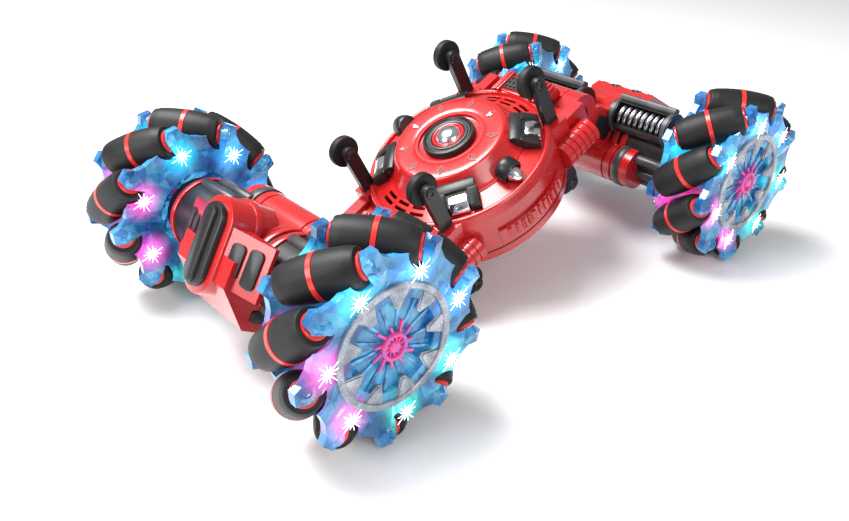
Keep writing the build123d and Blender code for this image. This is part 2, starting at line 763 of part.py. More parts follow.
# Drive units: on each side an axle housing with a spring cradle, and the motor in its bay.
with BuildPart() as drive_units:
    for side in (1, -1):
        inner_y = side * spine_half_width
        with BuildSketch(across(module_length, inner_y, 0)):
            Circle(housing_radius)
        extrude(amount=side * (housing_outer_y - spine_half_width))
        with BuildSketch(across(module_length, side * housing_outer_y, 0)):
            Circle(snout_radius)
        extrude(amount=side * (snout_outer_y - housing_outer_y))
        with BuildSketch(across(cradle_x, inner_y, cradle_z)):
            Circle(cradle_radius)
        extrude(amount=side * (cradle_outer_y - spine_half_width))
        with BuildSketch(across(cradle_x, side * window_inner_y, cradle_z)):
            with Locations((-cradle_radius / 2, 0)):
                Rectangle(cradle_radius + 2 * wall, 2 * (cradle_radius - window_rail))
        extrude(amount=side * (window_outer_y - window_inner_y), mode=Mode.SUBTRACT)
        with BuildSketch(across(cradle_x, inner_y, cradle_z)):
            Circle(spring_rod_radius)
        extrude(amount=side * (cradle_outer_y - spine_half_width))
        with BuildSketch(across(module_length, inner_y, 0)):
            Circle(motor_bay_radius)
        extrude(amount=side * motor_bay_depth, mode=Mode.SUBTRACT)
        with BuildSketch(across(module_length, side * snout_outer_y, 0)):
            Circle(axle_radius + running_clearance)
        extrude(amount=-side * (snout_outer_y - axle_end_y + axle_bore_spare), mode=Mode.SUBTRACT)
    for side in (1, -1):
        with BuildSketch(across(module_length, side * spine_half_width, 0)):
            Circle(motor_bay_radius - motor_gap)
        extrude(amount=side * (motor_bay_depth - motor_gap))
write(drive_units.part, "rear_drive_units", rear_place)
write(drive_units.part, "front_drive_units", front_place)
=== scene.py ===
import json
import math
import random

import bmesh
import bpy
from mathutils import Matrix, Vector, geometry


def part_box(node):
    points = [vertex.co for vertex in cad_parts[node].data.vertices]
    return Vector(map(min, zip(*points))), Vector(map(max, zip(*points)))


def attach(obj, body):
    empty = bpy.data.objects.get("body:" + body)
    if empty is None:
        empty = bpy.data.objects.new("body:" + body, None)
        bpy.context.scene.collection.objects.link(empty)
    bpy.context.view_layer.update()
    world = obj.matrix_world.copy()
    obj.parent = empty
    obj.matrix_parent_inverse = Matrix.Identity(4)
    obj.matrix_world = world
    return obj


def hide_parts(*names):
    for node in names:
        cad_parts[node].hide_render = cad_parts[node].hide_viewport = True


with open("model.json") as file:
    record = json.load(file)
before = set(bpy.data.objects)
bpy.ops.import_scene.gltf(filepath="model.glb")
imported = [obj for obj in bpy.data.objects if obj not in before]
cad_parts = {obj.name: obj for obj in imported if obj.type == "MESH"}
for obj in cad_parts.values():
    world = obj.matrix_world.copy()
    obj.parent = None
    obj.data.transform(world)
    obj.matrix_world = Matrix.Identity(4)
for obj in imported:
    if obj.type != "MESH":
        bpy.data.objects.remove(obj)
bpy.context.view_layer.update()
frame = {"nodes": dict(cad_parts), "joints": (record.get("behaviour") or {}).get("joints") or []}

# ------------------------------------------------------------------ Studio
# A pale seamless floor with one large soft light over the car, fills from the left and the
# front, and a white surround. The camera looks down on the car's front right corner.
camera_azimuth = math.radians(-40.69)
camera_height_angle = math.radians(28.77)
camera_roll = math.radians(0.61)
camera_distance = 0.41458
camera_target = Vector((-0.0682, -0.04489, 0.045))
camera_lens = 36.02

toward_camera = Vector((
    math.sin(camera_azimuth) * math.cos(camera_height_angle),
    -math.cos(camera_azimuth) * math.cos(camera_height_angle),
    math.sin(camera_height_angle),
))
level_right = Vector((0, 0, 1)).cross(toward_camera).normalized()
level_up = toward_camera.cross(level_right)
camera_right = level_right * math.cos(camera_roll) + level_up * math.sin(camera_roll)
camera_up = level_up * math.cos(camera_roll) - level_right * math.sin(camera_roll)
camera_data = bpy.data.cameras.new("camera")
camera_data.lens = camera_lens
camera_data.clip_start = 0.01
camera = bpy.data.objects.new("camera", camera_data)
bpy.context.scene.collection.objects.link(camera)


def axes_at(origin, x_axis, y_axis, z_axis):
    """The matrix that places a shape at origin with these axes."""
    return Matrix.Translation(origin) @ Matrix((x_axis, y_axis, z_axis)).transposed().to_4x4()


camera.matrix_world = axes_at(camera_target + toward_camera * camera_distance, camera_right, camera_up,
                              toward_camera)
bpy.context.scene.camera = camera
bpy.context.scene.view_settings.view_transform = "Standard"

floor_size = 6.0
floor_level = -0.0004
floor_mesh = bpy.data.meshes.new("studio_floor")
floor_mesh.from_pydata(
    [(x * floor_size, y * floor_size, floor_level) for x, y in ((-1, -1), (1, -1), (1, 1), (-1, 1))], [],
    [(0, 1, 2, 3)])
floor = bpy.data.objects.new("studio_floor", floor_mesh)
bpy.context.scene.collection.objects.link(floor)
floor_paint = bpy.data.materials.new("floor_paint")
floor_paint.use_nodes = True
floor_shader = floor_paint.node_tree.nodes["Principled BSDF"]
for socket, value in (("Base Color", (0.86, 0.86, 0.865, 1)), ("Roughness", 0.7),
                      ("Emission Color", (1, 1, 1, 1)), ("Emission Strength", 0.05)):
    floor_shader.inputs[socket].default_value = value
floor_mesh.materials.append(floor_paint)

surround = bpy.data.worlds.new("surround")
surround.use_nodes = True
background = surround.node_tree.nodes["Background"]
background.inputs["Color"].default_value = (1, 1, 1, 1)
background.inputs["Strength"].default_value = 0.34
bpy.context.scene.world = surround


def soft_light(name, place, aim, size, power):
    """A square studio light at place, facing aim."""
    data = bpy.data.lights.new(name, "AREA")
    data.size = size
    data.energy = power
    lamp = bpy.data.objects.new(name, data)
    bpy.context.scene.collection.objects.link(lamp)
    lamp.location = place
    lamp.rotation_euler = (Vector(place) - Vector(aim)).to_track_quat("Z", "Y").to_euler()


soft_light("overhead_light", (-0.28, 0.35, 0.90), (0, 0, 0), 0.6, 20)
soft_light("left_light", (-0.95, 0.1, 0.5), (0, 0, 0.05), 0.45, 5)
soft_light("front_light", (-0.2, -0.9, 0.6), (0, 0, 0.05), 0.5, 4)


# ------------------------------------------------------------------ Rollers
# Thirty-six rubber rollers, nine to a wheel. Each is a black rubber sleeve moulded over a
# red plastic core, whose middle band and end flanges show, and turns on a steel pin.
def node_material(name, base, rough, metallic=0.0):
    """A new material with a principled shader; returns it with its node tree and shader."""
    material = bpy.data.materials.new(name)
    material.use_nodes = True
    material.diffuse_color = (*base, 1)
    shader = material.node_tree.nodes["Principled BSDF"]
    shader.inputs["Base Color"].default_value = (*base, 1)
    shader.inputs["Roughness"].default_value = rough
    shader.inputs["Metallic"].default_value = metallic
    return material, material.node_tree, shader


def connect(tree, source, socket, target, target_socket):
    tree.links.new(source.outputs[socket], target.inputs[target_socket])


def add_node(tree, kind, inputs=None, **settings):
    """A new node with its settings made and its unlinked inputs filled in."""
    node = tree.nodes.new(kind)
    for name, value in settings.items():
        setattr(node, name, value)
    for socket, value in (inputs or {}).items():
        node.inputs[socket].default_value = value
    return node


def surface_finish(tree, shader, light, dark, patch, grain, rough_low, rough_high, bump, seed=0.0):
    """Colour drifting between two tones, uneven gloss and a fine moulded or rubbed grain."""
    place = add_node(tree, "ShaderNodeTexCoord")
    shift = add_node(tree, "ShaderNodeMapping", {"Location": (seed, seed * 1.7, -seed)})
    drift = add_node(tree, "ShaderNodeTexNoise", {"Scale": patch, "Detail": 3})
    fine = add_node(tree, "ShaderNodeTexNoise", {"Scale": grain, "Detail": 5})
    tones = add_node(tree, "ShaderNodeValToRGB")
    for stop, position, tone in zip(tones.color_ramp.elements, (0.35, 0.65), (dark, light)):
        stop.position = position
        stop.color = (*tone, 1)
    gloss = add_node(tree, "ShaderNodeMapRange", {"To Min": rough_low, "To Max": rough_high})
    relief = add_node(tree, "ShaderNodeBump", {"Strength": bump, "Distance": 0.0002})
    for link in ((place, "Object", shift, "Vector"), (shift, "Vector", drift, "Vector"),
                 (shift, "Vector", fine, "Vector"), (drift, "Fac", tones, "Fac"),
                 (tones, "Color", shader, "Base Color"), (fine, "Fac", gloss, "Value"),
                 (gloss, "Result", shader, "Roughness"), (fine, "Fac", relief, "Height"),
                 (relief, "Normal", shader, "Normal")):
        connect(tree, *link)
    return tones


def finished(name, base, rough, light, dark, patch, grain, rough_low, rough_high, bump, metallic=0.0,
             inputs=None):
    """A material with that surface finish and any further shader inputs."""
    material, tree, shader = node_material(name, base, rough, metallic)
    surface_finish(tree, shader, light, dark, patch, grain, rough_low, rough_high, bump)
    for socket, value in (inputs or {}).items():
        shader.inputs[socket].default_value = value
    return material


rubber = finished("tyre_rubber", (0.010, 0.010, 0.011), 0.5, (0.013, 0.013, 0.014),
                  (0.006, 0.006, 0.0065), 60, 2600, 0.40, 0.58, 0.3, inputs={"Specular IOR Level": 0.3})
ring_red = finished("ring_red", (0.75, 0.02, 0.02), 0.3, (0.82, 0.035, 0.025), (0.62, 0.015, 0.015), 90,
                    1800, 0.25, 0.4, 0.1, inputs={"Coat Weight": 0.3})
pin_steel = finished("pin_steel", (0.6, 0.6, 0.62), 0.3, (0.66, 0.66, 0.68), (0.48, 0.48, 0.5), 200, 1500,
                     0.22, 0.4, 0.1, metallic=1.0)

wheel_radius = 0.05
roller_count = 9
roller_step = 360 / roller_count
roller_radius = 0.010
roller_tilt = math.radians(42.0)
sleeve_half = 0.0178
roller_half = 0.019
band_half = 0.0012
band_proud = 0.0002
flange_radius = 0.0058
pin_radius = 0.0014
pin_half = 0.0238
roller_ring = wheel_radius - roller_radius
turns_fine = 40
corners = ("front_right", "front_left", "rear_right", "rear_left")


def sleeve_radius(t):
    return wheel_radius - math.hypot(roller_ring, t * math.sin(roller_tilt))


def ring_of(radius, height, steps):
    """Points evenly round Z."""
    return [(radius * math.cos(2 * math.pi * n / steps), radius * math.sin(2 * math.pi * n / steps), height)
            for n in range(steps)]


def lathe(outline, steps):
    """Turns (radius, height, finish) points about Z; the finish is that of the stretch below."""
    verts, faces, finishes = [], [], []
    for radius, height, _ in outline:
        verts += ring_of(radius, height, steps)
    for row in range(len(outline) - 1):
        for n in range(steps):
            a = row * steps + n
            b = row * steps + (n + 1) % steps
            faces.append((a, b, b + steps, a + steps))
            finishes.append(outline[row + 1][2])
    return verts, faces, finishes


def outward(mesh):
    """Merge doubled points and turn every face outwards."""
    shape = bmesh.new()
    shape.from_mesh(mesh)
    bmesh.ops.remove_doubles(shape, verts=shape.verts, dist=1e-7)
    bmesh.ops.recalc_face_normals(shape, faces=shape.faces)
    shape.to_mesh(mesh)
    shape.free()


def mesh_of(name, verts, faces):
    mesh = bpy.data.meshes.new(name)
    mesh.from_pydata([tuple(v) for v in verts], [], faces)
    return mesh


def linked(name, mesh):
    built = bpy.data.objects.new(name, mesh)
    bpy.context.scene.collection.objects.link(built)
    return built


def riding(name, mesh, body, sharp=40):
    """Shades a finished mesh smooth, creased at its sharp edges, and lets it ride on a body."""
    for polygon in mesh.polygons:
        polygon.use_smooth = True
    mesh.set_sharp_from_angle(angle=math.radians(sharp))
    mesh.update()
    built = linked(name, mesh)
    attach(built, body)
    return built


rounded_from = math.radians(28)


def piece(name, verts, faces, body, slot, materials, finishes=None, place=None, sharp=40, rounding=0,
          mend=False):
    """A finished mesh in the row's frame. Its object stays at the origin, unturned."""
    mesh = mesh_of(name, verts, faces)
    if rounding:
        shape = bmesh.new()
        shape.from_mesh(mesh)
        bmesh.ops.remove_doubles(shape, verts=shape.verts, dist=1e-7)
        bmesh.ops.recalc_face_normals(shape, faces=shape.faces)
        corners_to_round = [edge for edge in shape.edges
                            if edge.is_manifold and edge.calc_face_angle(0) > rounded_from]
        bmesh.ops.bevel(shape, geom=corners_to_round, offset=rounding, segments=2, profile=0.5,
                        affect="EDGES", clamp_overlap=True)
        shape.to_mesh(mesh)
        shape.free()
    if place is not None:
        mesh.transform(place)
    for material in materials:
        mesh.materials.append(material)
    if finishes:
        for polygon, finish in zip(mesh.polygons, finishes):
            polygon.material_index = finish
    built = riding(name, mesh, body, sharp)
    if mend:
        outward(mesh)
    return built


RUBBER, RED, STEEL = 0, 1, 2
end_radius = sleeve_radius(sleeve_half)
outline = [(0.00001, -pin_half, STEEL), (pin_radius, -pin_half, STEEL), (pin_radius, -roller_half, STEEL),
           (flange_radius - 0.0004, -roller_half, RED), (flange_radius, -roller_half + 0.0003, RED),
           (flange_radius, -sleeve_half, RED), (end_radius - 0.0014, -sleeve_half, RUBBER),
           (end_radius - 0.0005, -sleeve_half + 0.0003, RUBBER),
           (end_radius, -sleeve_half + 0.0012, RUBBER),
           (end_radius + 0.0001, -sleeve_half + 0.0022, RUBBER)]
sleeve_steps = 7
first_step = -sleeve_half + 0.0031
for n in range(sleeve_steps + 1):
    t = first_step + (-band_half - 0.0002 - first_step) * n / sleeve_steps
    outline.append((sleeve_radius(t), t, RUBBER))
outline.append((sleeve_radius(0) - 0.0004, -band_half, RUBBER))
outline.append((sleeve_radius(0) + band_proud, -band_half + 0.0001, RED))
half = len(outline)
outline += [(radius, -height, finish) for radius, height, finish in reversed(outline)]
for n in range(half, len(outline)):
    outline[n] = (*outline[n][:2], outline[2 * half - n][2] if n > half else RED)
roller_verts, roller_faces, roller_finishes = lathe(outline, turns_fine)

joints = {joint["child"]: joint for joint in frame["joints"]}
for corner in corners:
    for n in range(roller_count):
        name = f"{corner}_roller_{n + 1}"
        joint = joints[name]
        lie = Vector(joint["axis"]).to_track_quat("Z", "Y").to_matrix().to_4x4()
        built = piece(f"{name}_sleeve", roller_verts, roller_faces, name, "rubber",
                      [rubber, ring_red, pin_steel], roller_finishes,
                      Matrix.Translation(joint["pos_m"]) @ lie)
        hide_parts(name)

# ------------------------------------------------------------------ Wheel hubs
# Each hub is two nine-armed star plates on a drum, moulded in translucent sky-blue plastic
# with cut-glass facets. Each arm ends in a boss that holds a roller's pin.
plate_inner, plate_outer = 0.0134, 0.0166
arm_lead = math.degrees(math.atan2((roller_half + 0.0027) * math.sin(roller_tilt), roller_ring))
drum_outer, drum_inner = 0.0275, 0.0216
boss_radius = 0.0046
star_bore = 0.0216
web_ring = 0.0288
pocket_gap = 0.0007


def polar(radius, angle):
    return radius * math.cos(math.radians(angle)), radius * math.sin(math.radians(angle))


def star_plate():
    """The outer plate: (x, y, height) points with facets raised along each arm, and its faces."""
    shape_of_arm = ((-20, 0.0405), (-12, 0.0412), (-6, 0.0440), (-3.6, 0.0482), (3.6, 0.0482), (6, 0.0448),
                    (13, 0.0420))
    facets = ((-15, 0.0345, 1.0), (-8, 0.0375, 0.5), (0, 0.0365, 2.2), (0, 0.0445, 2.0), (8, 0.0365, 0.6),
              (15, 0.0340, 1.0), (-19, 0.0318, 0.3))
    flat, heights = [], []
    for k in range(roller_count):
        tip = roller_step * k - arm_lead
        flat += [polar(radius, tip + turn) for turn, radius in shape_of_arm]
        heights += [0.6 if radius < 0.045 else 1.2 for _, radius in shape_of_arm]
    rim = len(flat)
    bore_points = 36
    flat += [polar(star_bore, -360 * n / bore_points) for n in range(bore_points)]
    heights += [0.0] * bore_points
    edges = [(n, (n + 1) % rim) for n in range(rim)]
    edges += [(rim + n, rim + (n + 1) % bore_points) for n in range(bore_points)]
    for k in range(roller_count):
        tip = roller_step * k - arm_lead
        flat += [polar(radius, tip + turn) for turn, radius, _ in facets]
        heights += [rise for _, _, rise in facets]
        flat += [polar(web_ring, tip + turn) for turn in (-16, -6, 4, 14)]
        heights += [0.1] * 4
    points, _, triangles, _, _, _ = geometry.delaunay_2d_cdt([Vector(p) for p in flat], edges, [], 1, 1e-6)
    triangles = [t for t in triangles
                 if (sum((points[n] for n in t), Vector((0, 0))) / 3).length > star_bore * 0.999]
    verts = [(p.x, p.y, plate_outer + 0.001 * rise) for p, rise in zip(points, heights)]
    verts += [(p.x, p.y, plate_inner) for p in points]
    count = len(points)
    faces = [tuple(t) for t in triangles]
    faces += [tuple(n + count for n in reversed(t)) for t in triangles]
    sides = dict.fromkeys((t[n], t[(n + 1) % 3]) for t in triangles for n in range(3))
    faces += [(b, a, a + count, b + count) for a, b in sides if (b, a) not in sides]
    return verts, faces


def loose_object(name, verts, faces):
    mesh = mesh_of(name, verts, faces)
    outward(mesh)
    return linked(name, mesh)


def roller_lie(angle):
    """From a roller's own frame to the wheel's, whose Z is the axle."""
    a = math.radians(angle)
    radial = Vector((math.cos(a), math.sin(a), 0))
    sideways = Vector((-math.sin(a), math.cos(a), 0))
    axis = Vector((0, 0, math.cos(roller_tilt))) - sideways * math.sin(roller_tilt)
    return axes_at(radial * roller_ring, radial, axis.cross(radial), axis)


def evaluated_mesh(holder):
    """The mesh that an object's modifiers make."""
    bpy.context.view_layer.update()
    return bpy.data.meshes.new_from_object(holder.evaluated_get(bpy.context.evaluated_depsgraph_get()))


def shape_of(mesh):
    return [v.co.copy() for v in mesh.vertices], [tuple(p.vertices) for p in mesh.polygons]


def joined(parts):
    """Several (verts, faces, place) shapes as one list of points and faces."""
    verts, faces = [], []
    for part_verts, part_faces, place in parts:
        start = len(verts)
        verts += [place @ Vector(v) for v in part_verts]
        faces += [tuple(n + start for n in face) for face in part_faces]
    return verts, faces


def closed_lathe(outline, steps):
    """A closed body turned about Z from (radius, height) points, the last joined to the first."""
    verts = [v for radius, height in outline for v in ring_of(radius, height, steps)]
    faces = []
    rows = len(outline)
    for row in range(rows):
        for n in range(steps):
            a = row * steps + n
            b = row * steps + (n + 1) % steps
            c = (row + 1) % rows * steps
            faces.append((a, b, c + (n + 1) % steps, c + n))
    return verts, faces


def solid_lathe(outline, steps):
    """A closed body turned about Z whose first and last points lie on the axis."""
    verts = [(0, 0, outline[0][1])]
    for radius, height in outline[1:-1]:
        verts += ring_of(radius, height, steps)
    verts.append((0, 0, outline[-1][1]))
    last = len(verts) - 1
    faces = [(0, 1 + (n + 1) % steps, 1 + n) for n in range(steps)]
    for row in range(len(outline) - 3):
        for n in range(steps):
            a = 1 + row * steps + n
            b = 1 + row * steps + (n + 1) % steps
            faces.append((a, b, b + steps, a + steps))
    faces += [(last, last - steps + n, last - steps + (n + 1) % steps) for n in range(steps)]
    return verts, faces


pocket_end = roller_half + 0.0005
pocket_outline = [(0, -pocket_end), (sleeve_radius(pocket_end) + pocket_gap, -pocket_end)]
pocket_outline += [(sleeve_radius(t) + 0.0002 + pocket_gap, t)
                   for t in [pocket_end * (n / 5 - 1) for n in range(1, 10)]]
pocket_outline += [(sleeve_radius(pocket_end) + pocket_gap, pocket_end), (0, pocket_end)]
pocket_shape = solid_lathe(pocket_outline, 32)
pockets = loose_object("roller_pockets", *joined(
    [(*pocket_shape, roller_lie(roller_step * k)) for k in range(roller_count)]))
star = loose_object("star", *star_plate())
cut = star.modifiers.new("pockets", "BOOLEAN")
cut.operation = "DIFFERENCE"
cut.operation = "DIFFERENCE"
cut.solver = "EXACT"
cut.object = pockets
star_shape = shape_of(evaluated_mesh(star))
bpy.data.objects.remove(star)
bpy.data.objects.remove(pockets)

boss_start, boss_end = roller_half + 0.0006, roller_half + 0.0049
boss_shape = solid_lathe([(0, boss_start), (boss_radius, boss_start), (boss_radius, boss_end - 0.0008),
                          (boss_radius - 0.0008, boss_end), (0.0024, boss_end), (0.0020, boss_end - 0.0006),
                          (0, boss_end - 0.0006)], 20)
half_turn = Matrix.Rotation(math.pi, 4, "X")
drum_shape = closed_lathe([(drum_outer, -plate_inner), (drum_outer, plate_inner), (drum_inner, plate_inner),
                           (drum_inner, -plate_inner)], 54)
web_shape = closed_lathe([(0.0032, 0.0118), (0.0226, 0.0118), (0.0226, 0.0140), (0.012, 0.0146),
                          (0.0032, 0.0140)], 54)
crystal_parts = [(*star_shape, Matrix()), (*star_shape, half_turn), (*drum_shape, Matrix()),
                 (*web_shape, Matrix())]
for k in range(roller_count):
    for end_turn in (Matrix(), half_turn):
        crystal_parts.append((*boss_shape, roller_lie(roller_step * k) @ end_turn))
crystal_verts, crystal_faces = joined(crystal_parts)

# The light of the seven LEDs pools in the plastic: each wheel's mesh carries the place of every
# point round the axle, turned so that its first LED is at angle nought.
led_ring = 0.034
led_count = 7
led_tints = ((0.02, 0.80, 1.0), (0.06, 0.48, 1.0), (0.05, 0.38, 1.0), (0.0, 0.85, 0.55), (0.0, 0.85, 0.40),
             (1.5, 0.0, 0.45), (1.6, 0.0, 0.42))
led_first = {"front_right": 122.3, "front_left": 103.0, "rear_right": 144.0, "rear_left": 110.0}
led_places = [Vector((*polar(led_ring, -360 / led_count * n), 0)) for n in range(led_count)]
crystal, tree, shader = node_material("hub_crystal", (0.06, 0.42, 0.80), 0.10)
# The crystal's drift between dark navy and light blue is painted caustic light inside the plastic.
tones = surface_finish(tree, shader, (0.15, 0.56, 0.86), (0.012, 0.16, 0.42), 70, 420, 0.04, 0.14, 0.22,
                       seed=0.3)
# Each face carries a tone drawn at random from dark to near white, overlaid on that drift: painted light
# and shade of the cut facets.
painted_facet_shading_node = add_node(tree, "ShaderNodeAttribute", attribute_name="painted_facet_shading")
painted_facet_mix = add_node(tree, "ShaderNodeMix", {"Factor": 0.5}, data_type="RGBA", blend_type="OVERLAY")
colour_b, colour_result = 7, 2
connect(tree, tones, "Color", painted_facet_mix, "A")
connect(tree, painted_facet_shading_node, "Color", painted_facet_mix, colour_b)
connect(tree, painted_facet_mix, colour_result, shader, "Base Color")
for socket, value in (("Transmission Weight", 0.6), ("IOR", 1.4), ("Coat Weight", 0.5),
                      ("Emission Strength", 0.8)):
    shader.inputs[socket].default_value = value
spot = add_node(tree, "ShaderNodeAttribute", attribute_name="wheel_spot")
glow_reach = 0.014
glow = None
for place, tint in zip(led_places, led_tints):
    away = add_node(tree, "ShaderNodeVectorMath", {1: place}, operation="DISTANCE")
    fade = add_node(tree, "ShaderNodeMapRange", {"From Max": glow_reach, "To Min": 1.0, "To Max": 0.0},
                    interpolation_type="SMOOTHERSTEP")
    pool = add_node(tree, "ShaderNodeVectorMath", {0: tint}, operation="SCALE")
    connect(tree, spot, "Vector", away, 0)
    connect(tree, away, "Value", fade, "Value")
    connect(tree, fade, "Result", pool, "Scale")
    if glow is None:
        glow = pool
        continue
    total = add_node(tree, "ShaderNodeVectorMath", operation="ADD")
    connect(tree, glow, "Vector", total, 0)
    connect(tree, pool, "Vector", total, 1)
    glow = total
# Besides the LED pools, the whole crystal glows faintly in its own painted tones: a painted glow standing
# for light passing through the plastic.
painted_crystal_glow = add_node(tree, "ShaderNodeVectorMath", {1: (0.12, 0.12, 0.12)}, operation="MULTIPLY_ADD")
connect(tree, painted_facet_mix, colour_result, painted_crystal_glow, 0)
connect(tree, glow, "Vector", painted_crystal_glow, 2)
connect(tree, painted_crystal_glow, "Vector", shader, "Emission Color")

wheel_places = {}
for corner in corners:
    centre = Vector(joints[f"{corner}_wheel"]["pos_m"])
    side = math.copysign(1, centre.y)
    first = Vector(joints[f"{corner}_roller_1"]["pos_m"]) - centre
    across = Vector((first.x, 0, first.z)).normalized()
    out = Vector((0, side, 0))
    wheel_places[corner] = axes_at(centre, across, out.cross(across), out)

painted_facet_shading_draws = random.Random(7)
for corner in corners:
    place = wheel_places[corner]
    built = piece(f"{corner}_hub_crystal", crystal_verts, crystal_faces, f"{corner}_wheel", "blue_hub",
                  [crystal], sharp=4, mend=True)
    mesh = built.data
    mesh.transform(place)
    led_turn = math.radians(led_first[corner])
    spot_layer = mesh.attributes.new("wheel_spot", "FLOAT_VECTOR", "POINT")
    centre = place.translation
    for vertex, value in zip(mesh.vertices, spot_layer.data):
        x, z = vertex.co.x - centre.x, vertex.co.z - centre.z
        radius, angle = math.hypot(x, z), math.atan2(z, x) - led_turn
        value.vector = (radius * math.cos(angle), radius * math.sin(angle), 0)
    # Each face takes a random tone from dark to near white: painted highlights and shade of the cut facets.
    painted_facet_shading_layer = mesh.attributes.new("painted_facet_shading", "FLOAT_COLOR", "CORNER")
    for polygon in mesh.polygons:
        tone = painted_facet_shading_draws.choice((0.2, 0.34, 0.5, 0.62, 0.92))
        for corner_index in polygon.loop_indices:
            painted_facet_shading_layer.data[corner_index].color = (tone * 0.8, tone * 0.95, tone, 1)
    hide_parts(f"{corner}_wheel_hub")

# ------------------------------------------------------------------ Hub trim and lights
# A grey moulded ring with teeth pointing inwards is glued round each hub's middle, a pink-lit
# spider fills it, and seven LEDs shine through the plate on both faces, each with painted glint rays.
ring_grey = finished("ring_grey", (0.36, 0.38, 0.42), 0.3, (0.44, 0.47, 0.52), (0.20, 0.22, 0.26), 160,
                     1500, 0.18, 0.34, 0.1, metallic=0.4, inputs={"Coat Weight": 0.3})
spider_pink = finished("spider_pink", (0.75, 0.06, 0.22), 0.25, (0.85, 0.08, 0.26), (0.35, 0.10, 0.45),
                       260, 1500, 0.15, 0.3, 0.1,
                       inputs={"Emission Color": (0.9, 0.05, 0.25, 1), "Emission Strength": 0.12})
spider_blue = finished("spider_blue", (0.05, 0.3, 0.6), 0.15, (0.12, 0.45, 0.75), (0.02, 0.12, 0.32), 200,
                       1200, 0.08, 0.2, 0.2, inputs={"Coat Weight": 0.4})
ring_outer, ring_inner = 0.0290, 0.0256
tooth_count = 9
tooth_root, tooth_tip = ring_inner + 0.0006, 0.0172
leg_count = 11


def extruded(outline, low, high):
    """A closed straight-sided body on a flat outline given anticlockwise."""
    count = len(outline)
    verts = [(x, y, low) for x, y in outline] + [(x, y, high) for x, y in outline]
    faces = [tuple(reversed(range(count))), tuple(range(count, 2 * count))]
    faces += [(n, (n + 1) % count, count + (n + 1) % count, count + n) for n in range(count)]
    return verts, faces


def rounded_box(length, width, corner, steps=5):
    """The outline of a rectangle with round corners; a slot when corner is half the width."""
    outline = []
    for cx, cy, first in ((1, 1, 0), (-1, 1, 90), (-1, -1, 180), (1, -1, 270)):
        for n in range(steps + 1):
            x, y = polar(corner, first + 90 * n / steps)
            outline.append((cx * (length / 2 - corner) + x, cy * (width / 2 - corner) + y))
    return outline


def slab(size, low, high, place):
    """A round-cornered plate of (length, width, corner[, steps]) between two heights, with its place."""
    return *extruded(rounded_box(*size), low, high), place


def at(x, y, z):
    return Matrix.Translation((x, y, z))


ring_outline = [(ring_outer, 0.0160), (ring_outer, 0.0176), (ring_outer - 0.0005, 0.0180),
                (ring_inner + 0.0005, 0.0180), (ring_inner, 0.0176), (ring_inner, 0.0160)]
ring_parts = [(*closed_lathe(ring_outline, 72), Matrix())]
for n in range(tooth_count):
    middle = 360 / tooth_count * n
    for inset, low, high in ((0.0, 0.0156, 0.0168), (0.0009, 0.0160, 0.0174)):
        turn_in = 1400 * inset
        tooth = [polar(tooth_root, middle - 12 + turn_in), polar(tooth_root, middle + 12 - turn_in),
                 polar(tooth_tip + inset, middle + 4 - turn_in),
                 polar(tooth_tip + inset, middle - 4 + turn_in)]
        ring_parts.append((*extruded(tooth, low, high), Matrix()))
spider_rim = [(0.0062, 0.0150), (0.0066, 0.0170), (0.0060, 0.0178), (0.0050, 0.0178), (0.0046, 0.0170),
              (0.0046, 0.0150)]
spider_boss = [(0, 0.0150), (0.0028, 0.0150), (0.0028, 0.0172), (0.0020, 0.0180), (0, 0.0182)]
spider_parts = [(*closed_lathe(spider_rim[::-1], 28), Matrix()), (*solid_lathe(spider_boss, 16), Matrix())]
for n in range(leg_count):
    start, reach = 360 / leg_count * n, (0.0120, 0.0098, 0.0108)[n % 3]
    leg = [polar(0.0058, start - 5), polar(reach, start + 6), polar(reach, start + 11),
           polar(0.0058, start + 7)]
    spider_parts.append((*extruded(leg, 0.0152, 0.0166), Matrix()))
    strut = [polar(0.0024, start - 10), polar(0.0050, start + 14), polar(0.0050, start + 24),
             polar(0.0024, start + 12)]
    spider_parts.append((*extruded(strut, 0.0152, 0.0168), Matrix()))
fan_parts = []
blade_root, blade_tip, blade_step = 0.0085, 0.0235, 25.71
for n in range(14):
    start = blade_step * n
    blade = [polar(blade_root, start), polar(blade_tip, start + 5), polar(blade_tip, start + 9),
             polar(blade_root, start + 8)]
    fan_parts.append((*extruded(blade, 0.0138, 0.0152), Matrix()))

led_white, tree, shader = node_material("led_white", (1, 1, 1), 0.3)
place = add_node(tree, "ShaderNodeTexCoord")
flicker = add_node(tree, "ShaderNodeTexNoise", {"Scale": 300})
flicker_range = add_node(tree, "ShaderNodeMapRange", {"To Min": 3.2, "To Max": 4.6})
connect(tree, place, "Object", flicker, "Vector")
connect(tree, flicker, "Fac", flicker_range, "Value")
connect(tree, flicker_range, "Result", shader, "Emission Strength")
shader.inputs["Emission Color"].default_value = (1, 1, 1, 1)
glint_ray_count = 12
led_dome = solid_lathe([(0, 0), (0.0017, 0), (0.0015, 0.0006), (0.0009, 0.0010), (0, 0.0011)], 14)
led_and_glint_parts = []
for spot_place in led_places:
    led_and_glint_parts.append((*led_dome, Matrix.Translation(spot_place)))
    # Thin emissive rays round each LED form a star: a painted glint.
    for n in range(glint_ray_count):
        reach = (0.0062, 0.0036, 0.0048)[n % 3]
        turn = 360 / glint_ray_count * n + 8
        glint_ray = [polar(0.0010, turn - 14), polar(reach, turn), polar(0.0010, turn + 14)]
        led_and_glint_parts.append((*extruded(glint_ray, 0.0004, 0.0006), Matrix.Translation(spot_place)))
led_and_glint_shape = joined(led_and_glint_parts)
led_rise = 0.0190
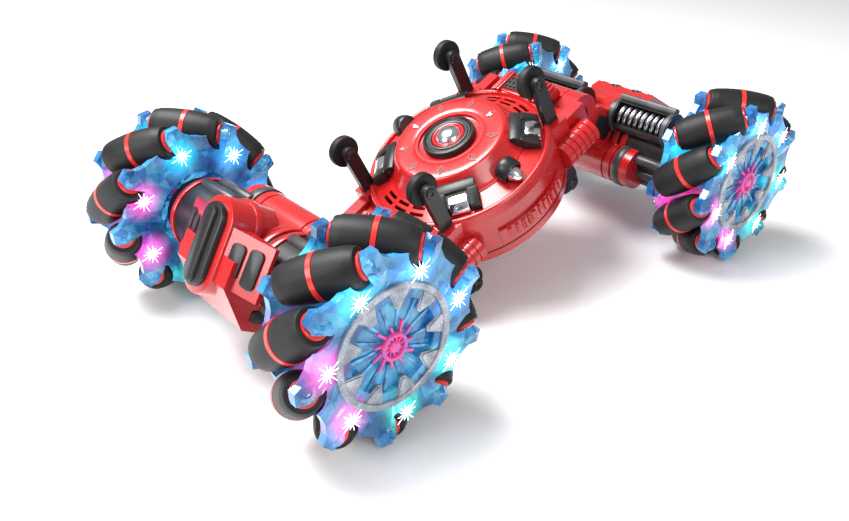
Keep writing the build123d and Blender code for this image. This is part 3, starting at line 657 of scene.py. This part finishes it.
for corner in corners:
    place = wheel_places[corner]
    body = f"{corner}_wheel"
    for part, shapes, material in (("ring", ring_parts, ring_grey), ("spider", spider_parts, spider_pink),
                                   ("fan", fan_parts, spider_blue)):
        piece(f"{corner}_hub_{part}", *joined(shapes), body, "blue_hub", [material], place=place,
              rounding=0.0002)
    # where the first LED stands about the axle, in the wheel's own frame
    led_turn = math.radians(led_first[corner])
    first_led = place.inverted().to_3x3() @ Vector((math.cos(led_turn), 0, math.sin(led_turn)))
    lie = Matrix.Rotation(math.atan2(first_led.y, first_led.x), 4, "Z")
    if corner.endswith("left"):
        lie = lie @ Matrix.Scale(-1, 4, (0, 1, 0))
    outer_face = lie @ at(0, 0, led_rise)
    inner_face = lie @ at(0, 0, -led_rise) @ Matrix.Scale(-1, 4, (0, 0, 1))
    piece(f"{corner}_leds", *joined([(*led_and_glint_shape, outer_face), (*led_and_glint_shape, inner_face)]), body, "blue_hub",
          [led_white], place=place, mend=True)

# ------------------------------------------------------------------ Body shells
# The saucer is two glossy red ABS shells screwed together from below. The crowned dome plate,
# with its silver studs, is a separate moulding clipped on top.
shell_red = finished("shell_red", (0.46, 0.008, 0.010), 0.26, (0.50, 0.010, 0.012), (0.41, 0.006, 0.007),
                     40, 1400, 0.24, 0.30, 0.015, inputs={"Coat Weight": 0.6, "Coat Roughness": 0.14})
black_plastic = finished("black_plastic", (0.010, 0.010, 0.011), 0.38, (0.014, 0.014, 0.015),
                         (0.007, 0.007, 0.0075), 70, 2400, 0.28, 0.42, 0.15)
silver = finished("silver_plating", (0.85, 0.85, 0.87), 0.18, (0.92, 0.92, 0.94), (0.70, 0.70, 0.73), 160,
                  900, 0.12, 0.24, 0.05, metallic=1.0)
dark_gap = finished("dark_gap", (0.006, 0.006, 0.007), 0.7, (0.010, 0.010, 0.011), (0.004, 0.004, 0.005),
                    90, 1500, 0.6, 0.8, 0.1)

rear_pivot = Vector(joints["rear_module"]["pos_m"])
front_pivot = Vector(joints["front_module"]["pos_m"])
body_ahead = (rear_pivot - front_pivot).normalized()
front_pivot_x, rear_pivot_x = -0.079, 0.071
body_up = body_ahead.cross(Vector((0, 1, 0)))
body_place = axes_at(rear_pivot - body_ahead * rear_pivot_x, body_ahead, Vector((0, 1, 0)), body_up)


def clothe(node, material):
    """Gives a carried-over CAD node its finish."""
    mesh = frame["nodes"][node].data
    mesh.materials.clear()
    mesh.materials.append(material)


def on_body(name, shape, slot, material, **more):
    """A piece drawn in the body's own frame, whose X runs to the rear hinge and Z up."""
    return piece(name, *shape, "body", slot, [material], place=body_place, **more)


for node in ("body_upper_shell", "body_lower_shell"):
    clothe(node, shell_red)
for node in ("caster_arms", "lamp_housings", "power_switch"):
    clothe(node, black_plastic)

dome_profile = [(0.0184, 0.0330), (0.0186, 0.0338), (0.0192, 0.0348), (0.0202, 0.0354), (0.0225, 0.0356),
                (0.0270, 0.0356), (0.0298, 0.0356), (0.0310, 0.0353), (0.0317, 0.0347), (0.0322, 0.0339),
                (0.0340, 0.0312), (0.0358, 0.0285), (0.0374, 0.0262), (0.0384, 0.0254), (0.0394, 0.0250),
                (0.0394, 0.0240), (0.0370, 0.0240), (0.0300, 0.0340), (0.0184, 0.0324)]
on_body("dome_plate", closed_lathe(dome_profile[::-1], 120), "red_plastic", shell_red, sharp=50)
cone_profile = [(0.0184, 0.0336), (0.0178, 0.0334), (0.0165, 0.0332), (0.0150, 0.0331), (0.0140, 0.0331),
                (0.0140, 0.0324), (0.0184, 0.0324)]
on_body("dome_well", closed_lathe(cone_profile[::-1], 96), "red_plastic", shell_red, sharp=50)

stud_count = 9
stud_radius, dome_top = 0.0257, 0.0356
stud_shape = ([(-0.0030, 0, 0), (0, 0.0015, 0), (0.0030, 0, 0), (0, -0.0015, 0), (0, 0, 0.0011),
               (0, 0, -0.0006)],
              [(0, 4, 1), (1, 4, 2), (2, 4, 3), (3, 4, 0), (1, 5, 0), (2, 5, 1), (3, 5, 2), (0, 5, 3)])
stud_bed = extruded([(-0.0038, 0), (0, -0.0021), (0.0038, 0), (0, 0.0021)], -0.0004, 0.0003)
studs, beds = [], []
for n in range(stud_count):
    lie = Matrix.Rotation(math.radians(15 + 360 / stud_count * n), 4, "Z") @ at(stud_radius, 0, dome_top)
    studs.append((*stud_shape, lie @ at(0, 0, 0.0003)))
    beds.append((*stud_bed, lie))
on_body("dome_studs", joined(studs), "motor_steel", silver, sharp=10, mend=True)
on_body("stud_beds", joined(beds), "black_plastic", ring_red, mend=True)

# ------------------------------------------------------------------ Eye and lamps
# The eye is a plated dome in a red collar inside two black rings. Four plated blocks sit in
# black hoods round the dome, and a plated bullet lamp sits in each flank's black bezel.
eye_rings = [(0.0148, 0.0326), (0.0148, 0.0356), (0.0143, 0.0368), (0.0132, 0.0372), (0.0126, 0.0368),
             (0.0122, 0.0362), (0.0116, 0.0362), (0.0112, 0.0371), (0.0104, 0.0373), (0.0096, 0.0370),
             (0.0092, 0.0360), (0.0092, 0.0326)]
on_body("eye_rings", closed_lathe(eye_rings[::-1], 80), "black_plastic", black_plastic, mend=True)
eye_collar = [(0.0093, 0.0326), (0.0093, 0.0366), (0.0088, 0.0371), (0.0076, 0.0368), (0.0070, 0.0360),
              (0.0070, 0.0326)]
on_body("eye_collar", closed_lathe(eye_collar[::-1], 64), "red_plastic", shell_red, mend=True)
lens_profile = [(0, 0.0330), (0.0072, 0.0330), (0.0072, 0.0355)]
lens_profile += [(0.0071 * math.cos(a), 0.0355 + 0.0045 * math.sin(a))
                 for a in [math.pi / 2 * n / 8 for n in range(1, 8)]]
lens_profile.append((0, 0.0400))
on_body("eye_lens", solid_lathe(lens_profile, 48), "motor_steel", silver, mend=True)

hood_parts, block_parts = [], []
for facing in (48, -48, 132, -132):
    turn = Matrix.Rotation(math.radians(facing), 4, "Z")
    # a hood is drawn in the upright plane of its own direction, then given its width across
    lie = turn @ Matrix(((1, 0, 0, 0), (0, 0, -1, 0), (0, 1, 0, 0), (0, 0, 0, 1)))
    roof = [(0.0322, 0.0255), (0.0392, 0.0255), (0.0392, 0.0312), (0.0352, 0.0328), (0.0330, 0.0326)]
    cheek = [(0.0385, 0.0215), (0.0472, 0.0215), (0.0474, 0.0268), (0.0392, 0.0312), (0.0385, 0.0312)]
    hood_parts.append((*extruded(roof, -0.0105, 0.0105), lie))
    for low, high in ((-0.0112, -0.0060), (0.0060, 0.0112)):
        hood_parts.append((*extruded(cheek, low, high), lie))
    block = [(0.0380, 0.0225), (0.0482, 0.0225), (0.0478, 0.0258), (0.0452, 0.0284), (0.0380, 0.0300)]
    block_parts.append((*extruded(block, -0.0052, 0.0052), lie))
on_body("lamp_hoods", joined(hood_parts), "black_plastic", black_plastic, rounding=0.0005)
on_body("lamp_blocks", joined(block_parts), "motor_steel", silver, rounding=0.0005)
bullet_profile = [(0, -0.0020), (0.0044, -0.0020), (0.0044, 0.0010), (0.0041, 0.0034), (0.0034, 0.0055),
                  (0.0024, 0.0072), (0.0012, 0.0083), (0, 0.0086)]
collar_profile = [(0.0066, -0.0030), (0.0066, 0.0012), (0.0061, 0.0019), (0.0053, 0.0019), (0.0047, 0.0012),
                  (0.0047, -0.0030)]
droop = math.radians(20)
lamp_reach, lamp_height = 0.042, 0.0275
bullets, collars = [], []
for side in (1, -1):
    aim = Vector((0, side * math.cos(droop), -math.sin(droop)))
    lie = at(0, side * lamp_reach, lamp_height) @ aim.to_track_quat("Z", "Y").to_matrix().to_4x4()
    bullets.append((*solid_lathe(bullet_profile, 32), lie))
    collars.append((*closed_lathe(collar_profile[::-1], 40), lie @ at(0, 0, 0.0012)))
    collars.append((*solid_lathe([(0, -0.0046), (0.0056, -0.0046), (0.0064, -0.0036), (0.0064, -0.0016),
                                  (0, -0.0016)], 40), lie))
on_body("bullet_lamps", joined(bullets), "motor_steel", silver, mend=True)
on_body("bullet_collars", joined(collars), "black_plastic", black_plastic, mend=True)

# ------------------------------------------------------------------ Rim ribs, panels and grilles
# Eleven rounded ribs stand on each side pad of the rim. A black perforated panel lies behind the
# vents at both ends, and a louvred black grille caps each turret.
def node_group(name, inputs):
    """A Geometry Nodes tree with these (label, kind) inputs, their identifiers and its two end nodes."""
    tree = bpy.data.node_groups.new(name, "GeometryNodeTree")
    sockets = {label: tree.interface.new_socket(label, in_out="INPUT",
                                                socket_type=f"NodeSocket{kind}").identifier
               for label, kind in inputs}
    tree.interface.new_socket("Geometry", in_out="OUTPUT", socket_type="NodeSocketGeometry")
    return tree, sockets, tree.nodes.new("NodeGroupInput"), tree.nodes.new("NodeGroupOutput")


def repeated(name, shape, spots, body, material, place):
    """Copies a small shape to every (place, turn) spot with Geometry Nodes, as one mesh."""
    seed_object = loose_object(f"{name}_one", *shape)
    spots_mesh = mesh_of(f"{name}_spots", [spot for spot, _ in spots], [])
    turns = spots_mesh.attributes.new("turn", "FLOAT_VECTOR", "POINT")
    for value, (_, turn) in zip(turns.data, spots):
        value.vector = turn
    carrier = linked(f"{name}_spots", spots_mesh)
    tree, sockets, start, end = node_group(f"{name}_tree", (
        ("Spots", "Geometry"), ("Part", "Object"), ("Finish", "Material")))
    part = add_node(tree, "GeometryNodeObjectInfo")
    turn = add_node(tree, "GeometryNodeInputNamedAttribute", {"Name": "turn"}, data_type="FLOAT_VECTOR")
    copies = add_node(tree, "GeometryNodeInstanceOnPoints")
    real = add_node(tree, "GeometryNodeRealizeInstances")
    finish = add_node(tree, "GeometryNodeSetMaterial")
    for link in ((start, "Spots", copies, "Points"), (start, "Part", part, "Object"),
                 (part, "Geometry", copies, "Instance"), (turn, "Attribute", copies, "Rotation"),
                 (copies, "Instances", real, "Geometry"), (real, "Geometry", finish, "Geometry"),
                 (start, "Finish", finish, "Material"), (finish, "Geometry", end, "Geometry")):
        connect(tree, *link)
    step = carrier.modifiers.new("copies", "NODES")
    step.node_group = tree
    step[sockets["Part"]] = seed_object
    step[sockets["Finish"]] = material
    mesh = evaluated_mesh(carrier)
    for item in (seed_object, carrier):
        bpy.data.objects.remove(item)
    mesh.name = name
    mesh.transform(place)
    if "turn" in mesh.attributes:
        mesh.attributes.remove(mesh.attributes["turn"])
    riding(name, mesh, body)


pad_radius, rib_height, rib_count = 0.0556, 0.0045, 11
rib_outline = [(0.0, -0.0010), (0.0009, -0.0007), (0.0013, 0), (0.0009, 0.0007), (0.0, 0.0010)]
rib_shape = extruded(rib_outline, -0.0030, 0.0030)
rib_spots = []
for side in (1, -1):
    for n in range(rib_count):
        angle = side * 90 + 40 * (n / (rib_count - 1) - 0.5)
        rib_spots.append(((*polar(pad_radius, angle), rib_height), (0, 0, math.radians(angle))))
repeated("pad_ribs", rib_shape, rib_spots, "body", shell_red, body_place)

hole_pitch = 0.0031
tile_half = hole_pitch / 2
tile_verts, tile_faces = [], []
hole_radius = 0.00085
for height in (0, 0.0006):
    tile_verts += [(x * tile_half, y * tile_half, height) for x, y in ((1, 1), (-1, 1), (-1, -1), (1, -1))]
    tile_verts += [(*polar(hole_radius, 45 * n + 22.5), height) for n in range(8)]
for low in (0, 12):
    ring_faces = []
    for q, (first, second) in enumerate(((0, 1), (1, 2), (2, 3), (3, 0))):
        ring_faces.append((low + first, low + second, low + 4 + (2 * q + 2) % 8, low + 4 + (2 * q + 1) % 8))
        ring_faces.append((low + first, low + 4 + (2 * q + 1) % 8, low + 4 + 2 * q))
    tile_faces += [tuple(reversed(f)) for f in ring_faces] if low else ring_faces
tile_faces += [(4 + n, 16 + n, 16 + (n + 1) % 8, 4 + (n + 1) % 8) for n in range(8)]
tile_faces += [(n, 12 + n, 12 + (n + 1) % 4, (n + 1) % 4) for n in range(4)]
panel_rows, panel_columns = 7, 3
panel_middles = {1: 0.0565, -1: -0.0645}
panel_floor, panel_top = 0.0180, 0.0240
frames_parts, backs = [], []
for end, middle in panel_middles.items():
    name = "rear" if end > 0 else "front"
    spots = [((middle + (i - (panel_columns - 1) / 2) * hole_pitch, (j - (panel_rows - 1) / 2) * hole_pitch,
               panel_top), (0, 0, 0)) for i in range(panel_columns) for j in range(panel_rows)]
    repeated(f"perforated_panel_{name}", (tile_verts, tile_faces), spots, "body",
             black_plastic, body_place)
    backs.append(slab((0.0130, 0.0262, 0.001), panel_floor, panel_top - 0.0002, at(middle, 0, 0)))
    for side in (1, -1):
        for y, width, top in ((0.0124, 0.0018, 0.0254), (0.0150, 0.0012, 0.0248), (0.0172, 0.0012, 0.0240)):
            frames_parts.append(slab((0.0160, width, 0.0005), panel_floor, top, at(middle, side * y, 0)))
on_body("panel_backs", joined(backs), "red_plastic", shell_red, rounding=0.0003)
on_body("panel_frames", joined(frames_parts), "red_plastic", shell_red, rounding=0.0003)

grey_plastic = finished("grey_plastic", (0.045, 0.045, 0.048), 0.35, (0.065, 0.065, 0.068),
                        (0.03, 0.03, 0.032), 80, 2200, 0.28, 0.42, 0.15)
grille_parts = []
grille_lean = math.radians(40)
turret_inset, turret_height, turret_radius, turret_half_width = 0.013, 0.011, 0.012, 0.0140
disc_profile = [(0, -0.001), (0.0056, -0.001), (0.0056, 0.0006), (0.0050, 0.0012), (0.0034, 0.0012),
                (0.0030, 0.0006), (0, 0.0006)]
for end, pivot_x in ((1, rear_pivot_x), (-1, front_pivot_x)):
    name = "rear" if end > 0 else "front"
    middle = at(pivot_x - end * turret_inset, 0, turret_height)
    lean = middle @ Matrix.Rotation(end * grille_lean, 4, "Y") @ at(0, 0, turret_radius)
    grille_parts.append(slab((0.0086, 0.0240, 0.0012), -0.0012, 0.0006, lean))
    for side in (1, -1):
        flank = at(0, side * turret_half_width, 0)
        grille_parts.append((*solid_lathe(disc_profile, 40),
                             middle @ flank @ Matrix.Rotation(-side * math.pi / 2, 4, "X")))
    bars = [((0.0013 * (n - 2.5), y, 0.0008), (0, 0, 0)) for n in range(6) for y in (-0.0056, 0.0056)]
    repeated(f"turret_louvres_{name}", extruded(rounded_box(0.0007, 0.0096, 0.0003, 2), -0.0004, 0.0005),
             bars, "body", grey_plastic, body_place @ lean)
on_body("turret_plates", joined(grille_parts), "black_plastic", black_plastic, rounding=0.0002)

# ------------------------------------------------------------------ Shell seam and belly screws
# The two shells meet in a dark seam under the rim. Steel self-tapping screws hold them from
# below, and a screwed door covers the battery.
seam_z = -0.004
seam_half, seam_inner, seam_outer = 0.0003, 0.0537, 0.05425
seam_low, seam_high = seam_z - seam_half, seam_z + seam_half
seam_outline = [(seam_inner, seam_low), (seam_outer, seam_low), (seam_outer, seam_high),
                (seam_inner, seam_high)]
on_body("shell_seam", closed_lathe(seam_outline, 120), "black_plastic", dark_gap, mend=True)
belly = -0.015
screw_steel = finished("screw_steel", (0.45, 0.45, 0.47), 0.35, (0.5, 0.5, 0.52), (0.32, 0.32, 0.34), 200,
                       1500, 0.28, 0.45, 0.1, metallic=1.0)
screw_shape = solid_lathe([(0, -0.0006), (0.0016, -0.0006), (0.0016, -0.0002), (0.0013, 0.0004),
                           (0.0007, 0.0006), (0.0005, 0.0001), (0, 0.0001)], 12)
screw_ring, head_down = 0.040, (math.pi, 0, 0)
screw_spots = [((*polar(screw_ring, angle), belly), head_down)
               for angle in (30, 80, 100, 150, 210, 260, 280, 330)]
repeated("belly_screws", screw_shape, screw_spots, "body", screw_steel, body_place)
door_middle, door_rib_start, door_rib_pitch = -0.013, -0.023, 0.005
door = [slab((0.040, 0.030, 0.003), -0.0006, 0.0004, at(door_middle, 0, belly))]
for n in range(5):
    door.append(slab((0.0010, 0.0160, 0.0005), -0.0010, 0,
                     at(door_rib_start + door_rib_pitch * n, 0, belly)))
on_body("battery_door", joined(door), "black_plastic", black_plastic, rounding=0.0002)

# ------------------------------------------------------------------ Casters
# Eight small tyres on black arms, four above and four below, let the car spin and slide on its
# back. Each turns on a shouldered screw with a domed cap.
caster_names = [joint["child"] for joint in frame["joints"] if joint["child"].startswith("caster_")]
for name in caster_names:
    clothe(name, rubber)
cap_shape = solid_lathe([(0, -0.0008), (0.0030, -0.0008), (0.0030, 0.0), (0.0024, 0.0007), (0.0012, 0.0009),
                         (0.0009, 0.0003), (0, 0.0003)], 20)
tyre_face_gap, arm_face_gap = 0.0012, 0.0046
cap_parts = []
for name in caster_names:
    low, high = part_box(name)
    middle = (low + high) / 2
    for side, y in ((1, high.y + tyre_face_gap), (-1, low.y - arm_face_gap)):
        cap_parts.append((*cap_shape, at(middle.x, y, middle.z)
                          @ Matrix.Rotation(-side * math.pi / 2, 4, "X")))
piece("caster_caps", *joined(cap_parts), "body", "black_plastic", [black_plastic])

# ------------------------------------------------------------------ Drive modules
# Each module is a red casing on the hinge. Its nose is an upright red shell round a black
# double-lobed bumper, with black rubber buttons on the slanted plates each side of it.
module_places = {}
for end in ("rear", "front"):
    pivot = Vector(joints[f"{end}_module"]["pos_m"])
    axle = sum((Vector(joints[f"{end}_{hand}_wheel"]["pos_m"]) for hand in ("right", "left")), Vector()) / 2
    ahead = Vector((axle.x - pivot.x, 0, axle.z - pivot.z)).normalized()
    module_places[end] = axes_at(pivot, ahead, Vector((0, 1, 0)), ahead.cross(Vector((0, 1, 0))))
    clothe(f"{end}_module_casing", shell_red)
    clothe(f"{end}_drive_units", black_plastic)
axle_run = 0.0734
cradle_run, cradle_rise = 0.051, 0.012
nose_start, nose_end = 0.080, 0.1062
# turns a shape drawn in (Y, Z) and raised along X into the module's frame
facing_out = Matrix(((0, 0, 1, 0), (1, 0, 0, 0), (0, 1, 0, 0), (0, 0, 0, 1)))


def wheelward(side, x, y, z):
    """A place on the module whose Z points out to one wheel."""
    return at(x, side * y, z) @ Matrix.Rotation(-side * math.pi / 2, 4, "X")


def hoop(inner, outer, low, high):
    """The outline of a ring whose outer edges are chamfered."""
    edge = outer - 0.0003
    return [(inner, high), (edge, high), (outer, high - 0.0004), (outer, low + 0.0004), (edge, low),
            (inner, low)]


nose_parts = [slab((0.0250, 0.0470, 0.0124, 10), nose_start, nose_end, facing_out),
              slab((0.0268, 0.0488, 0.0133, 10), 0.0895, 0.0935, facing_out)]
pill_parts = [slab((0.0164, 0.0405, 0.0081, 8), 0.1052, 0.1092, facing_out)]
for y in (-0.0039, 0.0039):
    pill_parts.append(slab((0.0074, 0.0372, 0.0036, 8), 0.1070, 0.1112, facing_out))
button_parts = []
bumper_face, slant_start, slant_run, slant_width = 0.105, 0.012, 0.008, 0.024
for side in (1, -1):
    normal = Vector((slant_width, side * slant_run, 0)).normalized()
    for reach, tall in ((0.30, 0.016), (0.70, 0.018)):
        x, y = bumper_face - slant_run * reach, slant_start + slant_width * reach
        lie = axes_at((x, side * y, 0), Vector((0, 0, 1)).cross(normal), Vector((0, 0, 1)), normal)
        button_parts.append(slab((0.0078, tall, 0.0024, 4), -0.0004, 0.0011, lie))
oval_parts, louvre_spots, stripe_parts = [], [], []
cover_middle, louvre_start, louvre_pitch, oval_top = 0.0755, 0.0695, 0.0030, 0.0314
for y in (-0.008, 0.008):
    oval_parts.append(slab((0.0196, 0.0076, 0.0037, 8), 0.0292, oval_top, at(cover_middle, y, 0)))
    louvre_spots += [((louvre_start + louvre_pitch * n, y, oval_top), (0, 0, 0)) for n in range(5)]
stripe_middle = 0.0770
for side in (1, -1):
    stripe_parts += [
        slab((0.018, 0.0040, 0.0012), 0.0308, 0.0316, at(stripe_middle, side * 0.0178, 0)),
        slab((0.018, 0.0060, 0.0012), -0.0004, 0.0008, wheelward(side, stripe_middle, 0.0220, 0.0235)),
        slab((0.016, 0.0130, 0.0020), -0.0004, 0.0008, wheelward(side, 0.0420, 0.0126, 0.0))]
band_parts, tube_parts, collar_parts = [], [], []
for side in (1, -1):
    for low, high in ((0.0150, 0.0190), (0.0215, 0.0255), (0.0560, 0.0592)):
        band_parts.append((*closed_lathe(hoop(0.0192, 0.0206, low, high), 72),
                           wheelward(side, axle_run, 0, 0)))
    collar_parts.append((*closed_lathe(hoop(0.0120, 0.0132, 0.0250, 0.0300), 60),
                         wheelward(side, 0.062, 0, -0.015)))
    for angle in (-150, -120, 120, 150, 90, -90, 60, -60):
        x, z = polar(0.0195, angle)
        rod = [(0, 0.0262), (0.0026, 0.0262), (0.0030, 0.0268), (0.0030, 0.0542), (0.0026, 0.0548),
               (0, 0.0548)]
        tube_parts.append((*solid_lathe(rod, 16), wheelward(side, axle_run + x, 0, z)))
    for low, high in ((0.0135, 0.0165), (0.0515, 0.0545)):
        collar = [(0.0098, low), (0.0106, low + 0.0003), (0.0106, high - 0.0003), (0.0098, high)]
        collar_parts.append((*closed_lathe(collar[::-1], 48), wheelward(side, cradle_run, 0, cradle_rise)))
    snout = [(0.0173, 0.0595), (0.0180, 0.0600), (0.0180, 0.0625), (0.0173, 0.0630)]
    collar_parts.append((*closed_lathe(snout[::-1], 60), wheelward(side, axle_run, 0, 0)))
    rail = rounded_box(0.0050, 0.0044, 0.0014)
    collar_parts.append((*extruded(rail, 0.0150, 0.0540), wheelward(side, 0.0465, 0, 0.0222)))
for end, place in module_places.items():
    body = f"{end}_module"
    for part, shapes, slot, material, more in (
            ("nose_shell", nose_parts, "red_plastic", shell_red, {"rounding": 0.0006}),
            ("bumper_pill", pill_parts, "rubber", black_plastic, {"rounding": 0.0012}),
            ("bumper_buttons", button_parts, "rubber", black_plastic, {"rounding": 0.0004}),
            ("cover_ovals", oval_parts, "black_plastic", black_plastic, {"rounding": 0.0004}),
            ("cover_stripes", stripe_parts, "black_plastic", black_plastic, {"rounding": 0.0003}),
            ("housing_bands", band_parts, "red_plastic", shell_red, {"mend": True}),
            ("housing_tubes", tube_parts, "black_plastic", grey_plastic, {"mend": True}),
            ("cradle_collars", collar_parts, "black_plastic", grey_plastic, {"mend": True})):
        piece(f"{end}_{part}", *joined(shapes), body, slot, [material], place=place, **more)
    repeated(f"{end}_oval_louvres", extruded(rounded_box(0.0012, 0.0052, 0.0005, 2), -0.0003, 0.0006),
             louvre_spots, body, grey_plastic, place)

# ------------------------------------------------------------------ Coil springs
# A coil spring lies in the cradle on each side of both modules. It is wound from round steel
# wire and sits over the cradle's rod.
spring_steel = finished("spring_steel", (0.38, 0.38, 0.40), 0.25, (0.46, 0.46, 0.48), (0.26, 0.26, 0.28),
                        220, 1800, 0.2, 0.34, 0.08, metallic=1.0)
spring_tree, spring_sockets, start, end = node_group("coil_spring", (
    ("Geometry", "Geometry"), ("Turns", "Float"), ("Coil radius", "Float"), ("Length", "Float"),
    ("Wire radius", "Float"), ("Finish", "Material")))
coil = add_node(spring_tree, "GeometryNodeCurveSpiral", {"Resolution": 22})
wire = add_node(spring_tree, "GeometryNodeCurvePrimitiveCircle", {"Resolution": 10})
sweep = add_node(spring_tree, "GeometryNodeCurveToMesh", {"Fill Caps": True})
smooth = add_node(spring_tree, "GeometryNodeSetShadeSmooth")
real = add_node(spring_tree, "GeometryNodeRealizeInstances")
paint = add_node(spring_tree, "GeometryNodeSetMaterial")
for link in ((start, "Turns", coil, "Rotations"), (start, "Coil radius", coil, "Start Radius"),
             (start, "Coil radius", coil, "End Radius"), (start, "Length", coil, "Height"),
             (start, "Wire radius", wire, "Radius"), (coil, "Curve", sweep, "Curve"),
             (wire, "Curve", sweep, "Profile Curve"), (sweep, "Mesh", smooth, "Geometry"),
             (smooth, "Geometry", real, "Geometry"), (real, "Geometry", paint, "Geometry"),
             (start, "Finish", paint, "Material"), (paint, "Geometry", end, "Geometry")):
    connect(spring_tree, *link)
spring_carrier = bpy.data.objects.new("spring_carrier", bpy.data.meshes.new("spring_carrier"))
bpy.context.scene.collection.objects.link(spring_carrier)
wind = spring_carrier.modifiers.new("wind", "NODES")
wind.node_group = spring_tree
for label, value in (("Turns", 8.0), ("Coil radius", 0.0070), ("Length", 0.0325), ("Wire radius", 0.0015),
                     ("Finish", spring_steel)):
    wind[spring_sockets[label]] = value
spring_shape = shape_of(evaluated_mesh(spring_carrier))
bpy.data.objects.remove(spring_carrier)
spring_start = 0.0178
for end, place in module_places.items():
    for side, hand in ((1, "left"), (-1, "right")):
        lie = place @ wheelward(side, cradle_run, spring_start, cradle_rise)
        piece(f"{end}_{hand}_spring", *spring_shape, f"{end}_module", "motor_steel", [spring_steel],
              place=lie, mend=True)

# ------------------------------------------------------------------ Parts inside the body
# The battery is a cell pack in blue shrink wrap, the control board a green laminate, and the
# fold motor a plated can. The belly and the vents hide most of them.
wrap = finished("battery_wrap", (0.03, 0.12, 0.45), 0.3, (0.04, 0.16, 0.55), (0.02, 0.08, 0.34), 120, 900,
                0.22, 0.4, 0.3)
clothe("battery_pack", wrap)
board_green = finished("circuit_board", (0.02, 0.22, 0.08), 0.35, (0.03, 0.28, 0.10), (0.012, 0.15, 0.06),
                       600, 1500, 0.3, 0.45, 0.15)
clothe("control_board", board_green)
clothe("fold_motor", screw_steel)
